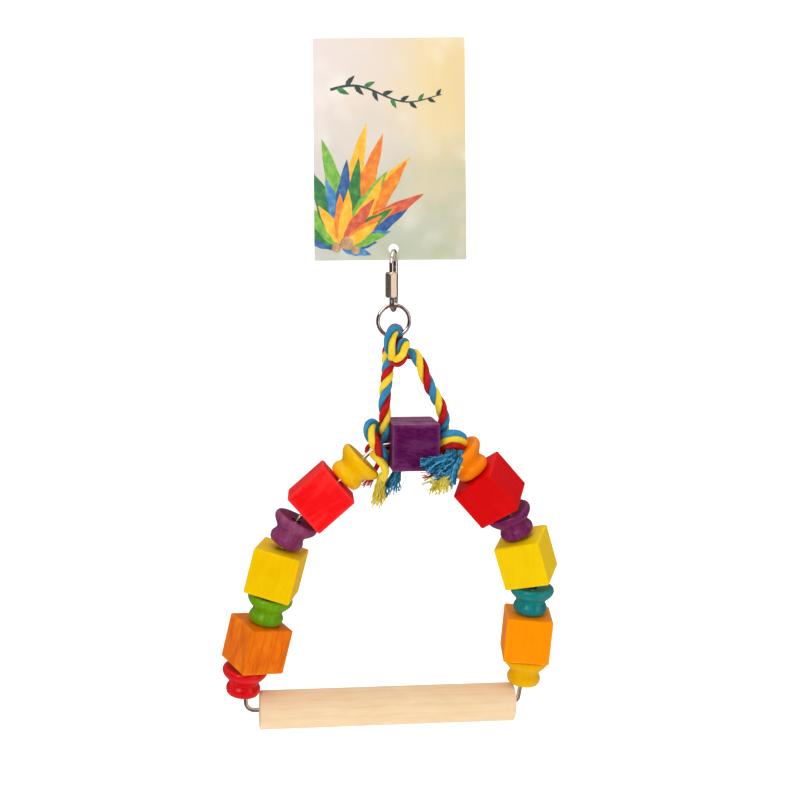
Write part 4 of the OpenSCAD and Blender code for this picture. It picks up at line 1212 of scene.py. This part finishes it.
# ------------------------------------------------------- stage and lights ---
def sheet(name, pts, x0, x1, colour, glow=0.0, rough=0.9):
    """A strip of card, bent through (y, z) points in metres, from x0 to x1."""
    b = Build()
    V = [(x * 1000, y * 1000, z * 1000) for y, z in pts for x in (x0, x1)]
    b.add(V, [(2 * i, 2 * i + 1, 2 * i + 3, 2 * i + 2) for i in range(len(pts) - 1)], [[(0, 0)] * 4] * (len(pts) - 1), 0)
    m = Mat(name + "_paper", Roughness=rough, Specular_IOR_Level=0.1)
    q = m.mapping(m.coord(), scale=(40, 40, 40))
    c0, c1 = lin(*colour), lin(*[min(255, c + 3) for c in colour])
    col = m.mix(m.grey(m.noise(q, 1.0, 3, 0.5), 0.3, 0.7), c0, c1)
    m.set(Base_Color=col, Emission_Color=c1, Emission_Strength=glow)
    ob = b.make(name, [m.m])
    ob.visible_glossy = False
    return ob


F = -0.42
sheet("floor", [(-0.55, F), (0.9, F)] + [(0.9 + 0.7 * math.sin(a), F + 0.7 - 0.7 * math.cos(a)) for a in np.linspace(0, math.pi / 2, 16)][1:] + [(1.6, 2.2)], -0.9, 1.35, (250, 250, 250), 0.42)
sheet("flag_left", [(-0.35, -0.42), (-0.35, 0.0), (-0.35, 0.5)], -1.3, -0.75, (16, 13, 12))

world = bpy.data.worlds.new("studio")
scene.world = world
world.use_nodes = True
wt = world.node_tree


def wnode(kind, ins=None, **props):
    n = wt.nodes.new(kind)
    for k_, v in props.items():
        setattr(n, k_, v)
    for k_, v in (ins or {}).items():
        if isinstance(v, bpy.types.NodeSocket):
            wt.links.new(v, n.inputs[k_])
        else:
            n.inputs[k_].default_value = v
    return n


bg = wt.nodes["Background"]
tc = wnode("ShaderNodeTexCoord")
sp = wnode("ShaderNodeSeparateXYZ", {0: tc.outputs["Generated"]})
mr = wnode("ShaderNodeMapRange", {"Value": sp.outputs[2], "From Min": -1.0, "From Max": 1.0})
cr = wnode("ShaderNodeValToRGB", {0: mr.outputs[0]})
el = cr.color_ramp.elements
el[0].position, el[0].color = 0.0, (0.30, 0.27, 0.25, 1)
el[1].position, el[1].color = 1.0, (0.85, 0.82, 0.80, 1)
for pos, c_ in ((0.25, (0.14, 0.11, 0.10)), (0.42, (0.06, 0.045, 0.04)), (0.5, (0.05, 0.04, 0.035)), (0.6, (0.12, 0.10, 0.09)), (0.78, (0.50, 0.47, 0.45))):
    e = el.new(pos)
    e.color = (*c_, 1)
# a warm card low on the right, for the plated parts to reflect
aim = wnode("ShaderNodeVectorMath", {0: tc.outputs["Generated"], 1: (0.529, -0.819, -0.225)}, operation="DOT_PRODUCT")
spot = wnode("ShaderNodeMapRange", {"Value": aim.outputs["Value"], "From Min": 0.945, "From Max": 0.975})
card_ = wnode("ShaderNodeMix", {0: spot.outputs[0], 6: cr.outputs[0], 7: (0.95, 0.83, 0.72, 1)}, data_type="RGBA")
lp = wnode("ShaderNodeLightPath")
room = wnode("ShaderNodeMix", {0: lp.outputs["Is Diffuse Ray"], 6: card_.outputs[2], 7: (0.55, 0.55, 0.55, 1)}, data_type="RGBA")
seen = wnode("ShaderNodeMix", {0: lp.outputs["Is Camera Ray"], 6: room.outputs[2], 7: (1, 1, 1, 1)}, data_type="RGBA")
wt.links.new(seen.outputs[2], bg.inputs[0])
bg.inputs[1].default_value = 1.0


def area(name, loc, target, size, power, color=(1, 1, 1)):
    d = bpy.data.lights.new(name, "AREA")
    d.shape = "RECTANGLE"
    d.size, d.size_y = size
    d.energy = power
    d.color = color
    o = bpy.data.objects.new(name, d)
    scene.collection.objects.link(o)
    o.location = loc
    o.rotation_mode = "QUATERNION"
    o.rotation_quaternion = (Vector(target) - Vector(loc)).to_track_quat("-Z", "Y")


area("key", (-0.80, -1.10, 0.70), (0, 0, -0.1), (0.7, 0.9), 9.5, (1.0, 0.985, 0.96))
area("fill", (1.05, -0.85, 0.20), (0, 0, -0.12), (0.35, 1.1), 2.6, (0.97, 0.985, 1.0))
area("top", (0.05, -0.05, 1.15), (0, 0, -0.1), (1.0, 0.7), 4.5)

scene.view_settings.view_transform = "Standard"
scene.view_settings.look = "None"
scene.view_settings.exposure = 0.0
